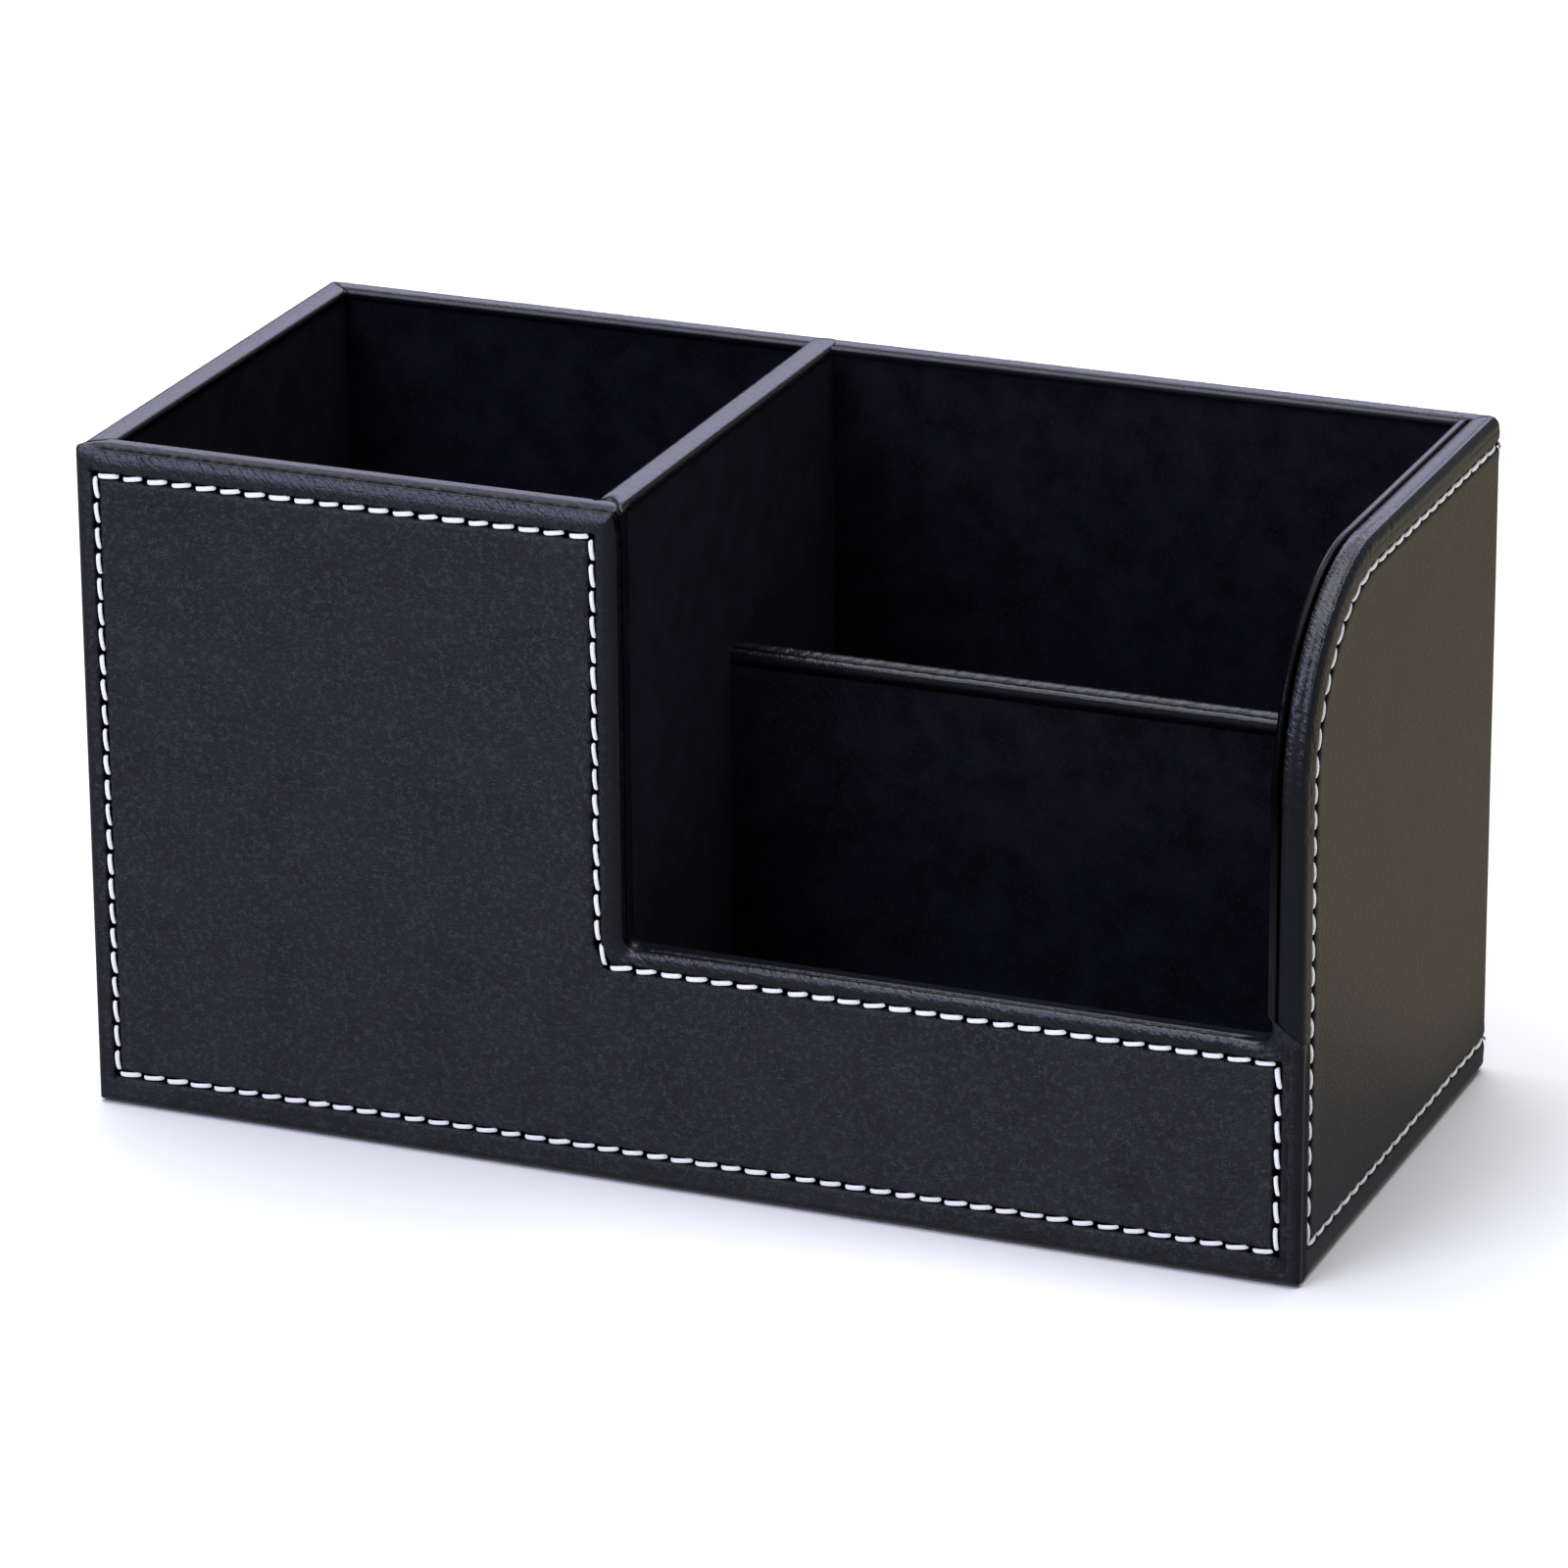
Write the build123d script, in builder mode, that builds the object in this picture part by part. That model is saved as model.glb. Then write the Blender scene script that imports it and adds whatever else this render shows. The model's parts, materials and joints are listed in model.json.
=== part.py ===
from build123d import *
import os

# A desk organiser of wrapped fibreboard: a tall pen bay at the left, and at the right a rear bay
# and a front bay behind a low front wall. X runs to the right, Y to the back and Z up. The origin
# is the middle of the footprint, on the desk. All sizes are in millimetres.

# Outer size
width = 200.0
depth = 93.0
height = 109.0
low_wall_height = 38.5
step_x = -9.5
shoulder_radius = 32.0

# The low divider between the two right bays
low_divider_height = 72.5
low_divider_middle = 0.5

# Build-up of the walls, from the outside in
skin = 0.8
board = 3.0
lining = 1.2
divider_board = 2.6
wall = skin + board + lining
divider = divider_board + 2 * lining

# Edges: the rounded rims, and the creases that run along them. The front skin and the low
# divider's cap are creased close behind their front faces, and the side wrap close to the bays.
rim_round = 1.5
tall_cap_round = 1.1
tall_cap_drop = 1.2
low_cap_drop = 2.5
front_crease = 1.6
side_crease = 3.8
crease_width = 0.35
crease_depth = 0.4
corner_return = 2.0
step_corner_round = 2.0
seam_inner_height = 43.1
seam_outer_height = 39.2
seam_lap_bottom = 36.0

# Stitching
stitch_pitch = 4.12
stitch_length = 3.5
stitch_width = 0.9
stitch_height = 0.35
stitch_slant = 5.0
stitch_turn = 2.5
stitch_inset = 3.7
stitch_top = height - 4.4
stitch_bottom = 5.2
stitch_low_wall = low_wall_height - 2.9
stitch_step = step_x - 3.95
side_stitch_front = 4.7
side_stitch_end = 1.8

# Limits of the outer faces, of the boards under the skins and of the bays inside the linings
left = -width / 2
right = width / 2
front = -depth / 2
back = depth / 2
board_left = left + skin
board_right = right - skin
board_front = front + skin
board_back = back - skin
board_top = height - skin
lining_left = board_left + board
lining_right = board_right - board
lining_front = board_front + board
lining_back = board_back - board
bay_left = left + wall
bay_right = right - wall
bay_front = front + wall
bay_back = back - wall
floor_board_top = skin + board
bay_floor = floor_board_top + lining
low_wall_board_top = low_wall_height - skin
beyond = 5.0

# Layers of the two dividers
divider_left = step_x - divider
divider_board_left = divider_left + lining
divider_board_right = step_x - lining
divider_lining_top = height - tall_cap_drop
low_front = low_divider_middle - divider / 2
low_back = low_divider_middle + divider / 2
low_board_front = low_front + lining
low_board_back = low_back - lining
low_board_top = low_divider_height - low_cap_drop / 2
low_lining_top = low_divider_height - low_cap_drop


def block(x, y, z, mode=Mode.ADD):
    """A square-cornered block between two limits on each axis."""
    with Locations((x[0], y[0], z[0])):
        Box(x[1] - x[0], y[1] - y[0], z[1] - z[0], align=(Align.MIN, Align.MIN, Align.MIN), mode=mode)


def step_face(y, x_span, bottom, inset):
    """The front wall's outline, tall at the left and low at the right, drawn at y."""
    x_left, x_right = x_span
    top = height - inset
    low_top = low_wall_height - inset
    step = step_x - inset
    with BuildSketch(Plane.XZ.offset(-y)) as outline:
        with BuildLine():
            Polyline(
                (x_left, bottom),
                (x_right, bottom),
                (x_right, low_top),
                (step, low_top),
                (step, top),
                (x_left, top),
                close=True,
            )
        make_face()
        inner_corner = outline.vertices().filter_by_position(Axis.X, step, step).sort_by(Axis.Y)[0]
        fillet(inner_corner, step_corner_round + inset)
    return outline.sketch


def shoulder_face(x, y_span, bottom, inset):
    """The right panel's outline, square behind and rounded at its top front, drawn at x."""
    y_front, y_back = y_span
    top = height - inset
    with BuildSketch(Plane.YZ.offset(x)) as outline:
        with Locations(((y_front + y_back) / 2, (bottom + top) / 2)):
            Rectangle(y_back - y_front, top - bottom)
        top_front_corner = outline.vertices().group_by(Axis.Y)[-1].sort_by(Axis.X)[0]
        fillet(top_front_corner, shoulder_radius - inset)
    return outline.sketch


def seam_face(y, bottom):
    """The part of the right panel's front edge that lies under the slanted seam, drawn at y."""
    with BuildSketch(Plane.XZ.offset(-y)) as outline:
        with BuildLine():
            Polyline(
                (bay_right, bottom),
                (right, bottom),
                (right, seam_outer_height),
                (bay_right, seam_inner_height),
                close=True,
            )
        make_face()
    return outline.sketch


def finish(piece, name):
    """Label a finished piece and write it under its own name."""
    piece.label = name
    export_step(piece, "parts/" + name + ".step")


os.makedirs("parts", exist_ok=True)

# Boards: the stiff panels that carry every cover
with BuildPart() as front_board:
    extrude(step_face(board_front, (lining_left, lining_right), skin, skin), amount=-board)
finish(front_board.part, "front_board")

with BuildPart() as back_board:
    block((lining_left, lining_right), (lining_back, board_back), (skin, board_top))
finish(back_board.part, "back_board")

with BuildPart() as left_board:
    block((board_left, lining_left), (board_front, board_back), (skin, board_top))
finish(left_board.part, "left_board")

with BuildPart() as right_board:
    extrude(shoulder_face(lining_right, (board_front, board_back), skin, skin), amount=board)
finish(right_board.part, "right_board")

with BuildPart() as base_board:
    block((lining_left, lining_right), (lining_front, lining_back), (skin, floor_board_top))
finish(base_board.part, "base_board")

with BuildPart() as tall_divider_board:
    block(
        (divider_board_left, divider_board_right),
        (lining_front, lining_back),
        (floor_board_top, board_top),
    )
finish(tall_divider_board.part, "tall_divider_board")

with BuildPart() as low_divider_board:
    block((step_x, bay_right), (low_board_front, low_board_back), (floor_board_top, low_board_top))
finish(low_divider_board.part, "low_divider_board")

# The leatherette of the three plain sides, as one shell before the front skin is parted from it:
# rounded outside, turned over the rims and under the base, with a crease along each rim.
with BuildPart() as shoulder_crease:
    crease_x = right - side_crease
    extrude(shoulder_face(crease_x, (front, back), 0, 0), amount=-crease_width)
    extrude(
        shoulder_face(crease_x, (front + crease_depth, back + beyond), -beyond, crease_depth),
        amount=-crease_width,
        mode=Mode.SUBTRACT,
    )

with BuildPart() as side_shell:
    block((left, bay_left), (front, back), (0, height))
    block((left, right), (bay_back, back), (0, height))
    extrude(shoulder_face(bay_right, (front, back), 0, 0), amount=wall)
    outer_edges = side_shell.edges().filter_by_position(Axis.X, right, right)
    outer_edges += side_shell.edges().filter_by_position(Axis.X, left, left)
    outer_edges += side_shell.edges().filter_by_position(Axis.Y, back, back).filter_by(Axis.X)
    fillet(outer_edges, rim_round)
    block((board_left, bay_left), (front - beyond, board_back), (skin, board_top), Mode.SUBTRACT)
    block((board_left, board_right), (bay_back, board_back), (skin, board_top), Mode.SUBTRACT)
    extrude(
        shoulder_face(bay_right, (board_front, board_back), skin, skin),
        amount=wall - skin,
        mode=Mode.SUBTRACT,
    )
    left_crease = (left + side_crease, left + side_crease + crease_width)
    back_crease = (back - side_crease - crease_width, back - side_crease)
    crease_height = (height - crease_depth, height)
    block(left_crease, (front, back_crease[1]), crease_height, Mode.SUBTRACT)
    block((left_crease[0], crease_x), back_crease, crease_height, Mode.SUBTRACT)
    add(shoulder_crease.part, mode=Mode.SUBTRACT)

# The front skin ends in a slanted seam across the front edge of the right panel
with BuildPart() as seam_flap:
    add(side_shell.part)
    extrude(seam_face(front, seam_lap_bottom), amount=-corner_return, mode=Mode.INTERSECT)

# The crease behind the front skin's rounded rim, which follows the step
with BuildPart() as rim_crease:
    crease_y = front + front_crease
    extrude(step_face(crease_y, (left, bay_right), 0, 0), amount=-crease_width)
    extrude(
        step_face(crease_y, (left - beyond, bay_right + beyond), -beyond, crease_depth),
        amount=-crease_width,
        mode=Mode.SUBTRACT,
    )

# Front skin: the L-shaped face, turned over the rim, round both front corners and under the base
with BuildPart() as front_skin:
    extrude(step_face(front, (left, right), 0, 0), amount=-wall)
    face_edges = front_skin.edges().filter_by_position(Axis.Y, front, front)
    side_edges = front_skin.edges().filter_by(Axis.Y).filter_by_position(Axis.X, left, left)
    side_edges += front_skin.edges().filter_by(Axis.Y).filter_by_position(Axis.Z, 0, 0)
    fillet(face_edges + side_edges, rim_round)
    extrude(step_face(board_front, (board_left, board_right), skin, skin), amount=-wall, mode=Mode.SUBTRACT)
    block((left - beyond, board_left), (front + corner_return, back), (-beyond, board_top), Mode.SUBTRACT)
    block((board_right, right + beyond), (front + corner_return, back), (-beyond, height), Mode.SUBTRACT)
    block((bay_right, board_right), (board_front, back), (skin, height), Mode.SUBTRACT)
    block((bay_right, right + beyond), (front - beyond, back), (seam_lap_bottom, height), Mode.SUBTRACT)
    add(seam_flap.part)
    add(rim_crease.part, mode=Mode.SUBTRACT)
finish(front_skin.part, "front_skin")

with BuildPart() as side_wrap:
    add(side_shell.part)
    block((left, bay_left), (front, front + corner_return), (0, height), Mode.SUBTRACT)
    block((bay_right, right), (front, front + corner_return), (0, seam_lap_bottom), Mode.SUBTRACT)
    extrude(seam_face(front, seam_lap_bottom), amount=-corner_return, mode=Mode.SUBTRACT)
    block((left, bay_left), (front, bay_front), (board_top, height), Mode.SUBTRACT)
    block((board_left, bay_left), (front, bay_front), (0, skin), Mode.SUBTRACT)
    block((bay_right, board_right), (front, bay_front), (0, skin), Mode.SUBTRACT)
finish(side_wrap.part, "side_wrap")

# Caps: leatherette strips folded over the top edges of the two dividers
with BuildPart() as tall_divider_cap:
    block((divider_left, step_x), (bay_front, bay_back), (divider_lining_top, height))
    top_edges = tall_divider_cap.faces().sort_by(Axis.Z)[-1].edges().filter_by(Axis.Y)
    fillet(top_edges, tall_cap_round)
    board_span = (divider_board_left, divider_board_right)
    block(board_span, (bay_front, bay_back), (divider_lining_top, board_top), Mode.SUBTRACT)
finish(tall_divider_cap.part, "tall_divider_cap")

with BuildPart() as low_divider_cap:
    block((step_x, bay_right), (low_front, low_back), (low_lining_top, low_divider_height))
    top_edges = low_divider_cap.faces().sort_by(Axis.Z)[-1].edges().filter_by(Axis.X)
    fillet(top_edges, rim_round)
    board_span = (low_board_front, low_board_back)
    block((step_x, bay_right), board_span, (low_lining_top, low_board_top), Mode.SUBTRACT)
    crease = (low_front + front_crease, low_front + front_crease + crease_width)
    crease_height = (low_divider_height - crease_depth, low_divider_height)
    block((step_x, bay_right), crease, crease_height, Mode.SUBTRACT)
finish(low_divider_cap.part, "low_divider_cap")

# Linings of the pen bay: cloth on thin card, standing on the base board round a floor panel
pen_bay_x = (bay_left, divider_left)
bays_y = (bay_front, bay_back)
layers_y = (lining_front, lining_back)
lining_z = (floor_board_top, board_top)
divider_lining_z = (floor_board_top, divider_lining_top)
floor_z = (floor_board_top, bay_floor)

with BuildPart() as pen_bay_front_lining:
    block(pen_bay_x, (lining_front, bay_front), lining_z)
finish(pen_bay_front_lining.part, "pen_bay_front_lining")

with BuildPart() as pen_bay_back_lining:
    block(pen_bay_x, (bay_back, lining_back), lining_z)
finish(pen_bay_back_lining.part, "pen_bay_back_lining")

with BuildPart() as pen_bay_left_lining:
    block((lining_left, bay_left), layers_y, lining_z)
finish(pen_bay_left_lining.part, "pen_bay_left_lining")

with BuildPart() as pen_bay_right_lining:
    block((divider_left, divider_board_left), layers_y, divider_lining_z)
finish(pen_bay_right_lining.part, "pen_bay_right_lining")

with BuildPart() as pen_bay_floor_lining:
    block(pen_bay_x, bays_y, floor_z)
finish(pen_bay_floor_lining.part, "pen_bay_floor_lining")

# Linings of the two right bays, with the low divider standing between their side panels
right_bays_x = (step_x, bay_right)
low_lining_z = (floor_board_top, low_lining_top)
low_wall_lining_z = (floor_board_top, low_wall_board_top)

with BuildPart() as divider_right_lining:
    block((divider_board_right, step_x), (bay_front, lining_back), divider_lining_z)
finish(divider_right_lining.part, "divider_right_lining")

with BuildPart() as right_lining:
    extrude(shoulder_face(bay_right, (board_front, lining_back), floor_board_top, skin), amount=lining)
    block((bay_right, lining_right), (board_front, bay_front), (0, low_wall_height), Mode.SUBTRACT)
finish(right_lining.part, "right_lining")

with BuildPart() as rear_bay_back_lining:
    block(right_bays_x, (bay_back, lining_back), lining_z)
finish(rear_bay_back_lining.part, "rear_bay_back_lining")

with BuildPart() as rear_bay_front_lining:
    block(right_bays_x, (low_board_back, low_back), low_lining_z)
finish(rear_bay_front_lining.part, "rear_bay_front_lining")

with BuildPart() as rear_bay_floor_lining:
    block(right_bays_x, (low_back, bay_back), floor_z)
finish(rear_bay_floor_lining.part, "rear_bay_floor_lining")

with BuildPart() as front_bay_back_lining:
    block(right_bays_x, (low_front, low_board_front), low_lining_z)
finish(front_bay_back_lining.part, "front_bay_back_lining")

with BuildPart() as front_bay_front_lining:
    block((divider_board_right, lining_right), (lining_front, bay_front), low_wall_lining_z)
finish(front_bay_front_lining.part, "front_bay_front_lining")

with BuildPart() as front_bay_floor_lining:
    block(right_bays_x, (bay_front, low_front), floor_z)
finish(front_bay_floor_lining.part, "front_bay_floor_lining")

# Base felt: fills the underside between the turned-under skins
with BuildPart() as base_felt:
    block((bay_left, bay_right), bays_y, (0, skin))
finish(base_felt.part, "base_felt")

# Stitching: white thread that shows as short raised bars, spaced along lines on the skins
with BuildPart() as stitch:
    with BuildSketch():
        SlotOverall(stitch_length, stitch_width, rotation=stitch_slant)
    extrude(amount=stitch_height)


def stitch_places(thread_line, outward):
    """Where the stitches of one thread line sit, evenly spaced and lying along it."""
    path = thread_line.wire()
    count = round(path.length / stitch_pitch)
    places = []
    for number in range(count):
        along = (number + 0.5) * path.length / count
        spot = path.position_at(along, position_mode=PositionMode.LENGTH)
        heading = path.tangent_at(along, position_mode=PositionMode.LENGTH)
        places.append(Plane(spot, x_dir=heading, z_dir=outward))
    return places


stitch_left = left + stitch_inset
stitch_right = right - stitch_inset
stitch_front = front + side_stitch_front
stitch_back = back - side_stitch_end

with BuildLine(Plane.XZ.offset(-front)) as front_thread:
    FilletPolyline(
        (stitch_left, stitch_bottom),
        (stitch_right, stitch_bottom),
        (stitch_right, stitch_low_wall),
        (stitch_step, stitch_low_wall),
        (stitch_step, stitch_top),
        (stitch_left, stitch_top),
        radius=stitch_turn,
        close=True,
    )

with BuildLine(Plane.YZ.offset(right)) as right_thread:
    FilletPolyline(
        (stitch_back, stitch_bottom),
        (stitch_front, stitch_bottom),
        (stitch_front, stitch_top),
        (stitch_back, stitch_top),
        radius=[stitch_turn, shoulder_radius - side_stitch_front],
    )

with BuildLine(Plane.YZ.offset(left)) as left_thread:
    FilletPolyline(
        (stitch_back, stitch_bottom),
        (stitch_front, stitch_bottom),
        (stitch_front, stitch_top),
        (stitch_back, stitch_top),
        radius=stitch_turn,
    )

with BuildLine(Plane.XZ.offset(-back)) as back_bottom_thread:
    Line((left + side_stitch_end, stitch_bottom), (right - side_stitch_end, stitch_bottom))

with BuildLine(Plane.XZ.offset(-back)) as back_top_thread:
    Line((left + side_stitch_end, stitch_top), (right - side_stitch_end, stitch_top))

with BuildPart() as front_stitching:
    with Locations(*stitch_places(front_thread, (0, -1, 0))):
        add(stitch.part)
finish(front_stitching.part, "front_stitching")

with BuildPart() as side_stitching:
    side_places = stitch_places(right_thread, (1, 0, 0))
    side_places += stitch_places(left_thread, (-1, 0, 0))
    side_places += stitch_places(back_bottom_thread, (0, 1, 0))
    side_places += stitch_places(back_top_thread, (0, 1, 0))
    with Locations(*side_places):
        add(stitch.part)
finish(side_stitching.part, "side_stitching")
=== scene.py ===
import json
import math

import bmesh
import bpy
import numpy as np
from mathutils import Matrix, Vector, geometry, noise


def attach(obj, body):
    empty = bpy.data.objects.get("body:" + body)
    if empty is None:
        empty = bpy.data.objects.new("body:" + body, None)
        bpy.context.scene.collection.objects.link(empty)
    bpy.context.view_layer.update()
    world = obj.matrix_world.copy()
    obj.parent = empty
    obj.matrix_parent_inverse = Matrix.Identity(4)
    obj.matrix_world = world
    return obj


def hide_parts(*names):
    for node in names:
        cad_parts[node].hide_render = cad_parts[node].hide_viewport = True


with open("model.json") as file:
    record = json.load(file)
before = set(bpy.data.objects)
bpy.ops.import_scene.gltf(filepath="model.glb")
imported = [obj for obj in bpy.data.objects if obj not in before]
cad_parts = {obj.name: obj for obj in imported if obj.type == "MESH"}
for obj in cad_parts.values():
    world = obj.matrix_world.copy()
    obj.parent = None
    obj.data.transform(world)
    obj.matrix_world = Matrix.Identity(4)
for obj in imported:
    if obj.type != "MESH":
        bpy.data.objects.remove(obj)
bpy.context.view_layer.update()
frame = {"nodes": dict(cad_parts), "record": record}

# A desk organiser of wrapped fibreboard. Sizes are in millimetres, as in the part's source, and are
# turned to metres when a mesh is made. X runs right, Y back and Z up. The tall front ends at STEP, and
# SHOULDER is the radius of the right panel's top front. The front cover turns round its two upright
# corners by CORNER_RETURN, and its seam with the side cover climbs from SEAM_OUTER to SEAM_INNER.
MM = 0.001
LEFT, RIGHT, FRONT, BACK, TOP = -100.0, 100.0, -46.5, 46.5, 109.0
LOW_WALL = 38.5
STEP = -9.5
SHOULDER = 32.0
WALL = 5.0
SKIN = 0.8
BAY_RIGHT, BAY_FRONT, BAY_BACK = RIGHT - WALL, FRONT + WALL, BACK - WALL
LOW_DIVIDER = 72.5
LOW_FRONT, LOW_BACK = -2.0, 3.0
CORNER_RETURN = 2.0
SEAM_INNER, SEAM_OUTER = 43.1, 39.2
COVER_SLOT, THREAD_SLOT = "leatherette", "thread"

# Stitching. FLATNESS is the thread's thickness over its width where it lies on the cover
STITCH_PITCH = 4.12
STITCH_LENGTH = 3.05
STITCH_WIDTH = 0.76
STITCH_HEIGHT = 0.24
STITCH_SLANT = 7.0
FLATNESS = 0.62
THREAD_SUNK = 0.18
THREAD_LEFT, THREAD_RIGHT = LEFT + 3.7, RIGHT - 3.7
THREAD_TOP = TOP - 4.4
THREAD_BOTTOM = 5.2
THREAD_LOW_WALL = LOW_WALL - 2.9
THREAD_STEP = STEP - 3.95
THREAD_SIDE_FRONT = 4.8


# Colours and materials
def srgb(code):
    """A hex colour as linear red, green, blue and alpha."""
    parts = [int(code[i:i + 2], 16) / 255 for i in (1, 3, 5)]
    return [c / 12.92 if c <= 0.04045 else ((c + 0.055) / 1.055) ** 2.4 for c in parts] + [1.0]


def add_node(tree, kind, inputs=None, **settings):
    """Adds one node with its settings. An input given a node or a socket is linked, any other is set."""
    node = tree.nodes.new(kind)
    for key, value in settings.items():
        setattr(node, key, value)
    for key, value in (inputs or {}).items():
        source = value.outputs[0] if isinstance(value, bpy.types.Node) else value
        if isinstance(source, bpy.types.NodeSocket):
            tree.links.new(source, node.inputs[key])
        else:
            node.inputs[key].default_value = source
    return node


def new_material(name, **fixed):
    """A material with its principled shader, whose constants are set on its own sockets."""
    material = bpy.data.materials.new(name)
    material.use_nodes = True
    tree = material.node_tree
    tree.nodes.clear()
    shader = add_node(tree, "ShaderNodeBsdfPrincipled", fixed)
    add_node(tree, "ShaderNodeOutputMaterial", {"Surface": shader})
    place = add_node(tree, "ShaderNodeTexCoord").outputs["Object"]
    return material, tree, shader, place


def per_metre(size_mm):
    """A texture's scale for features of this size."""
    return 1000.0 / size_mm


def make_leatherette():
    """Polyurethane-coated cloth, embossed with a fine grain: a dark satin, with a faint sparkle painted on
    the grain's tips. Where it is pulled over an edge it is smoother and glossier. In creases and round the
    thread, shade is painted in: there it is made black and metallic, so that it gives almost no light
    back. The real grain of about 0.2 mm is too fine to show, so it is drawn at 0.3 to 0.5 mm."""
    material, tree, shader, place = new_material(
        "embossed_black_pu_leatherette", **{"IOR": 1.45, "Specular IOR Level": 0.45})
    pulled = add_node(tree, "ShaderNodeAttribute", attribute_name="pulled").outputs["Fac"]
    painted_shade = add_node(tree, "ShaderNodeAttribute", attribute_name="painted_shade").outputs["Fac"]
    crumpled = add_node(tree, "ShaderNodeAttribute", attribute_name="crumpled").outputs["Fac"]
    pebble = add_node(tree, "ShaderNodeTexVoronoi", {
        "Vector": place, "Scale": per_metre(0.5), "Smoothness": 0.5, "Randomness": 1.0},
        feature="SMOOTH_F1")
    grit = add_node(tree, "ShaderNodeTexNoise", {
        "Vector": place, "Scale": per_metre(0.3), "Detail": 2.0, "Roughness": 0.6})
    mottle = add_node(tree, "ShaderNodeTexNoise", {
        "Vector": place, "Scale": per_metre(0.9), "Detail": 3.0, "Roughness": 0.65})
    drift = add_node(tree, "ShaderNodeTexNoise", {
        "Vector": place, "Scale": per_metre(9.0), "Detail": 3.0, "Roughness": 0.55})

    # Colour: cloudy near-black, painted sparkle on the grain's tips, painted shade in creases and by the
    # thread
    cloud = add_node(tree, "ShaderNodeMapRange", {"Value": drift, "From Min": 0.3, "From Max": 0.7})
    base = add_node(tree, "ShaderNodeMix", {0: cloud, 6: srgb("#18181b"), 7: srgb("#202024")},
                    data_type="RGBA")
    tips = add_node(tree, "ShaderNodeMath", {0: grit, 1: mottle}, operation="MULTIPLY")
    # Painted sparkle: paler grain tips that stand in for the grain's glints
    painted_sparkle = add_node(tree, "ShaderNodeMapRange", {
        "Value": tips, "From Min": 0.26, "From Max": 0.36, "To Max": 0.6})
    with_painted_sparkle = add_node(tree, "ShaderNodeMix", {0: painted_sparkle, 6: base.outputs[2], 7: srgb("#3d3e45")},
                       data_type="RGBA")
    stretched = add_node(tree, "ShaderNodeMix", {0: pulled, 6: with_painted_sparkle.outputs[2], 7: srgb("#111218")},
                         data_type="RGBA")
    # Painted shade: near black in the creases and round the thread
    painted_shade_mix = add_node(tree, "ShaderNodeMix", {0: painted_shade, 6: stretched.outputs[2], 7: srgb("#020203")},
                        data_type="RGBA")
    tree.links.new(painted_shade_mix.outputs[2], shader.inputs["Base Color"])

    # Gloss
    satin = add_node(tree, "ShaderNodeMapRange", {
        "Value": mottle, "From Min": 0.3, "From Max": 0.7, "To Min": 0.41, "To Max": 0.53})
    gloss = add_node(tree, "ShaderNodeMix", {0: pulled, 2: satin, 3: 0.26}, data_type="FLOAT")
    tree.links.new(gloss.outputs[0], shader.inputs["Roughness"])
    # Painted shade: the shaded places are also made metallic, so that their black returns almost no light
    tree.links.new(painted_shade, shader.inputs["Metallic"])

    # Grain, which the pull flattens, and slanting folds
    lumps = add_node(tree, "ShaderNodeMath", {0: pebble, 1: 0.7, 2: grit}, operation="MULTIPLY_ADD")
    flattened = add_node(tree, "ShaderNodeMath", {0: pulled, 1: -0.82, 2: 1.0}, operation="MULTIPLY_ADD")
    emboss = add_node(tree, "ShaderNodeMath", {0: lumps, 1: flattened}, operation="MULTIPLY")
    relief = add_node(tree, "ShaderNodeBump", {"Height": emboss, "Distance": 0.14 * MM})
    slanting = add_node(tree, "ShaderNodeVectorMath", {0: place, 1: (1.0, 1.0, 1.0)},
                        operation="DOT_PRODUCT")
    spots = add_node(tree, "ShaderNodeSeparateXYZ", {0: place})
    across = add_node(tree, "ShaderNodeMath", {0: slanting.outputs["Value"], 1: 1.8}, operation="MULTIPLY")
    streaks = add_node(tree, "ShaderNodeCombineXYZ", {
        "X": across, "Y": spots.outputs["X"], "Z": spots.outputs["Z"]})
    folds = add_node(tree, "ShaderNodeTexNoise", {
        "Vector": streaks, "Scale": per_metre(1.3), "Detail": 2.0, "Roughness": 0.5})
    depth = add_node(tree, "ShaderNodeMath", {0: folds, 1: crumpled}, operation="MULTIPLY")
    wrinkles = add_node(tree, "ShaderNodeBump", {"Height": depth, "Distance": 0.2 * MM, "Normal": relief})
    tree.links.new(wrinkles.outputs[0], shader.inputs["Normal"])
    return material


def make_flannelette():
    """Brushed black cotton cloth: its short nap swallows light and leaves only soft, mottled patches."""
    material, tree, shader, place = new_material("brushed_black_flannelette", **{
        "IOR": 1.4, "Specular IOR Level": 0.1, "Roughness": 0.95, "Sheen Weight": 0.06,
        "Sheen Roughness": 0.5, "Sheen Tint": srgb("#8e88a8")})
    nap = add_node(tree, "ShaderNodeTexNoise", {
        "Vector": place, "Scale": per_metre(0.45), "Detail": 4.0, "Roughness": 0.7})
    patches = add_node(tree, "ShaderNodeTexNoise", {
        "Vector": place, "Scale": per_metre(6.0), "Detail": 3.0, "Roughness": 0.6})
    cloud = add_node(tree, "ShaderNodeMapRange", {"Value": patches, "From Min": 0.35, "From Max": 0.65})
    base = add_node(tree, "ShaderNodeMix", {0: cloud, 6: srgb("#08080b"), 7: srgb("#14131b")},
                    data_type="RGBA")
    tips = add_node(tree, "ShaderNodeMapRange", {
        "Value": nap, "From Min": 0.52, "From Max": 0.72, "To Max": 0.7})
    napped = add_node(tree, "ShaderNodeMix", {0: tips, 6: base.outputs[2], 7: srgb("#211f29")},
                      data_type="RGBA")
    tree.links.new(napped.outputs[2], shader.inputs["Base Color"])
    relief = add_node(tree, "ShaderNodeBump", {"Height": nap, "Distance": 0.12 * MM, "Strength": 0.7})
    tree.links.new(relief.outputs[0], shader.inputs["Normal"])
    return material


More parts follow.
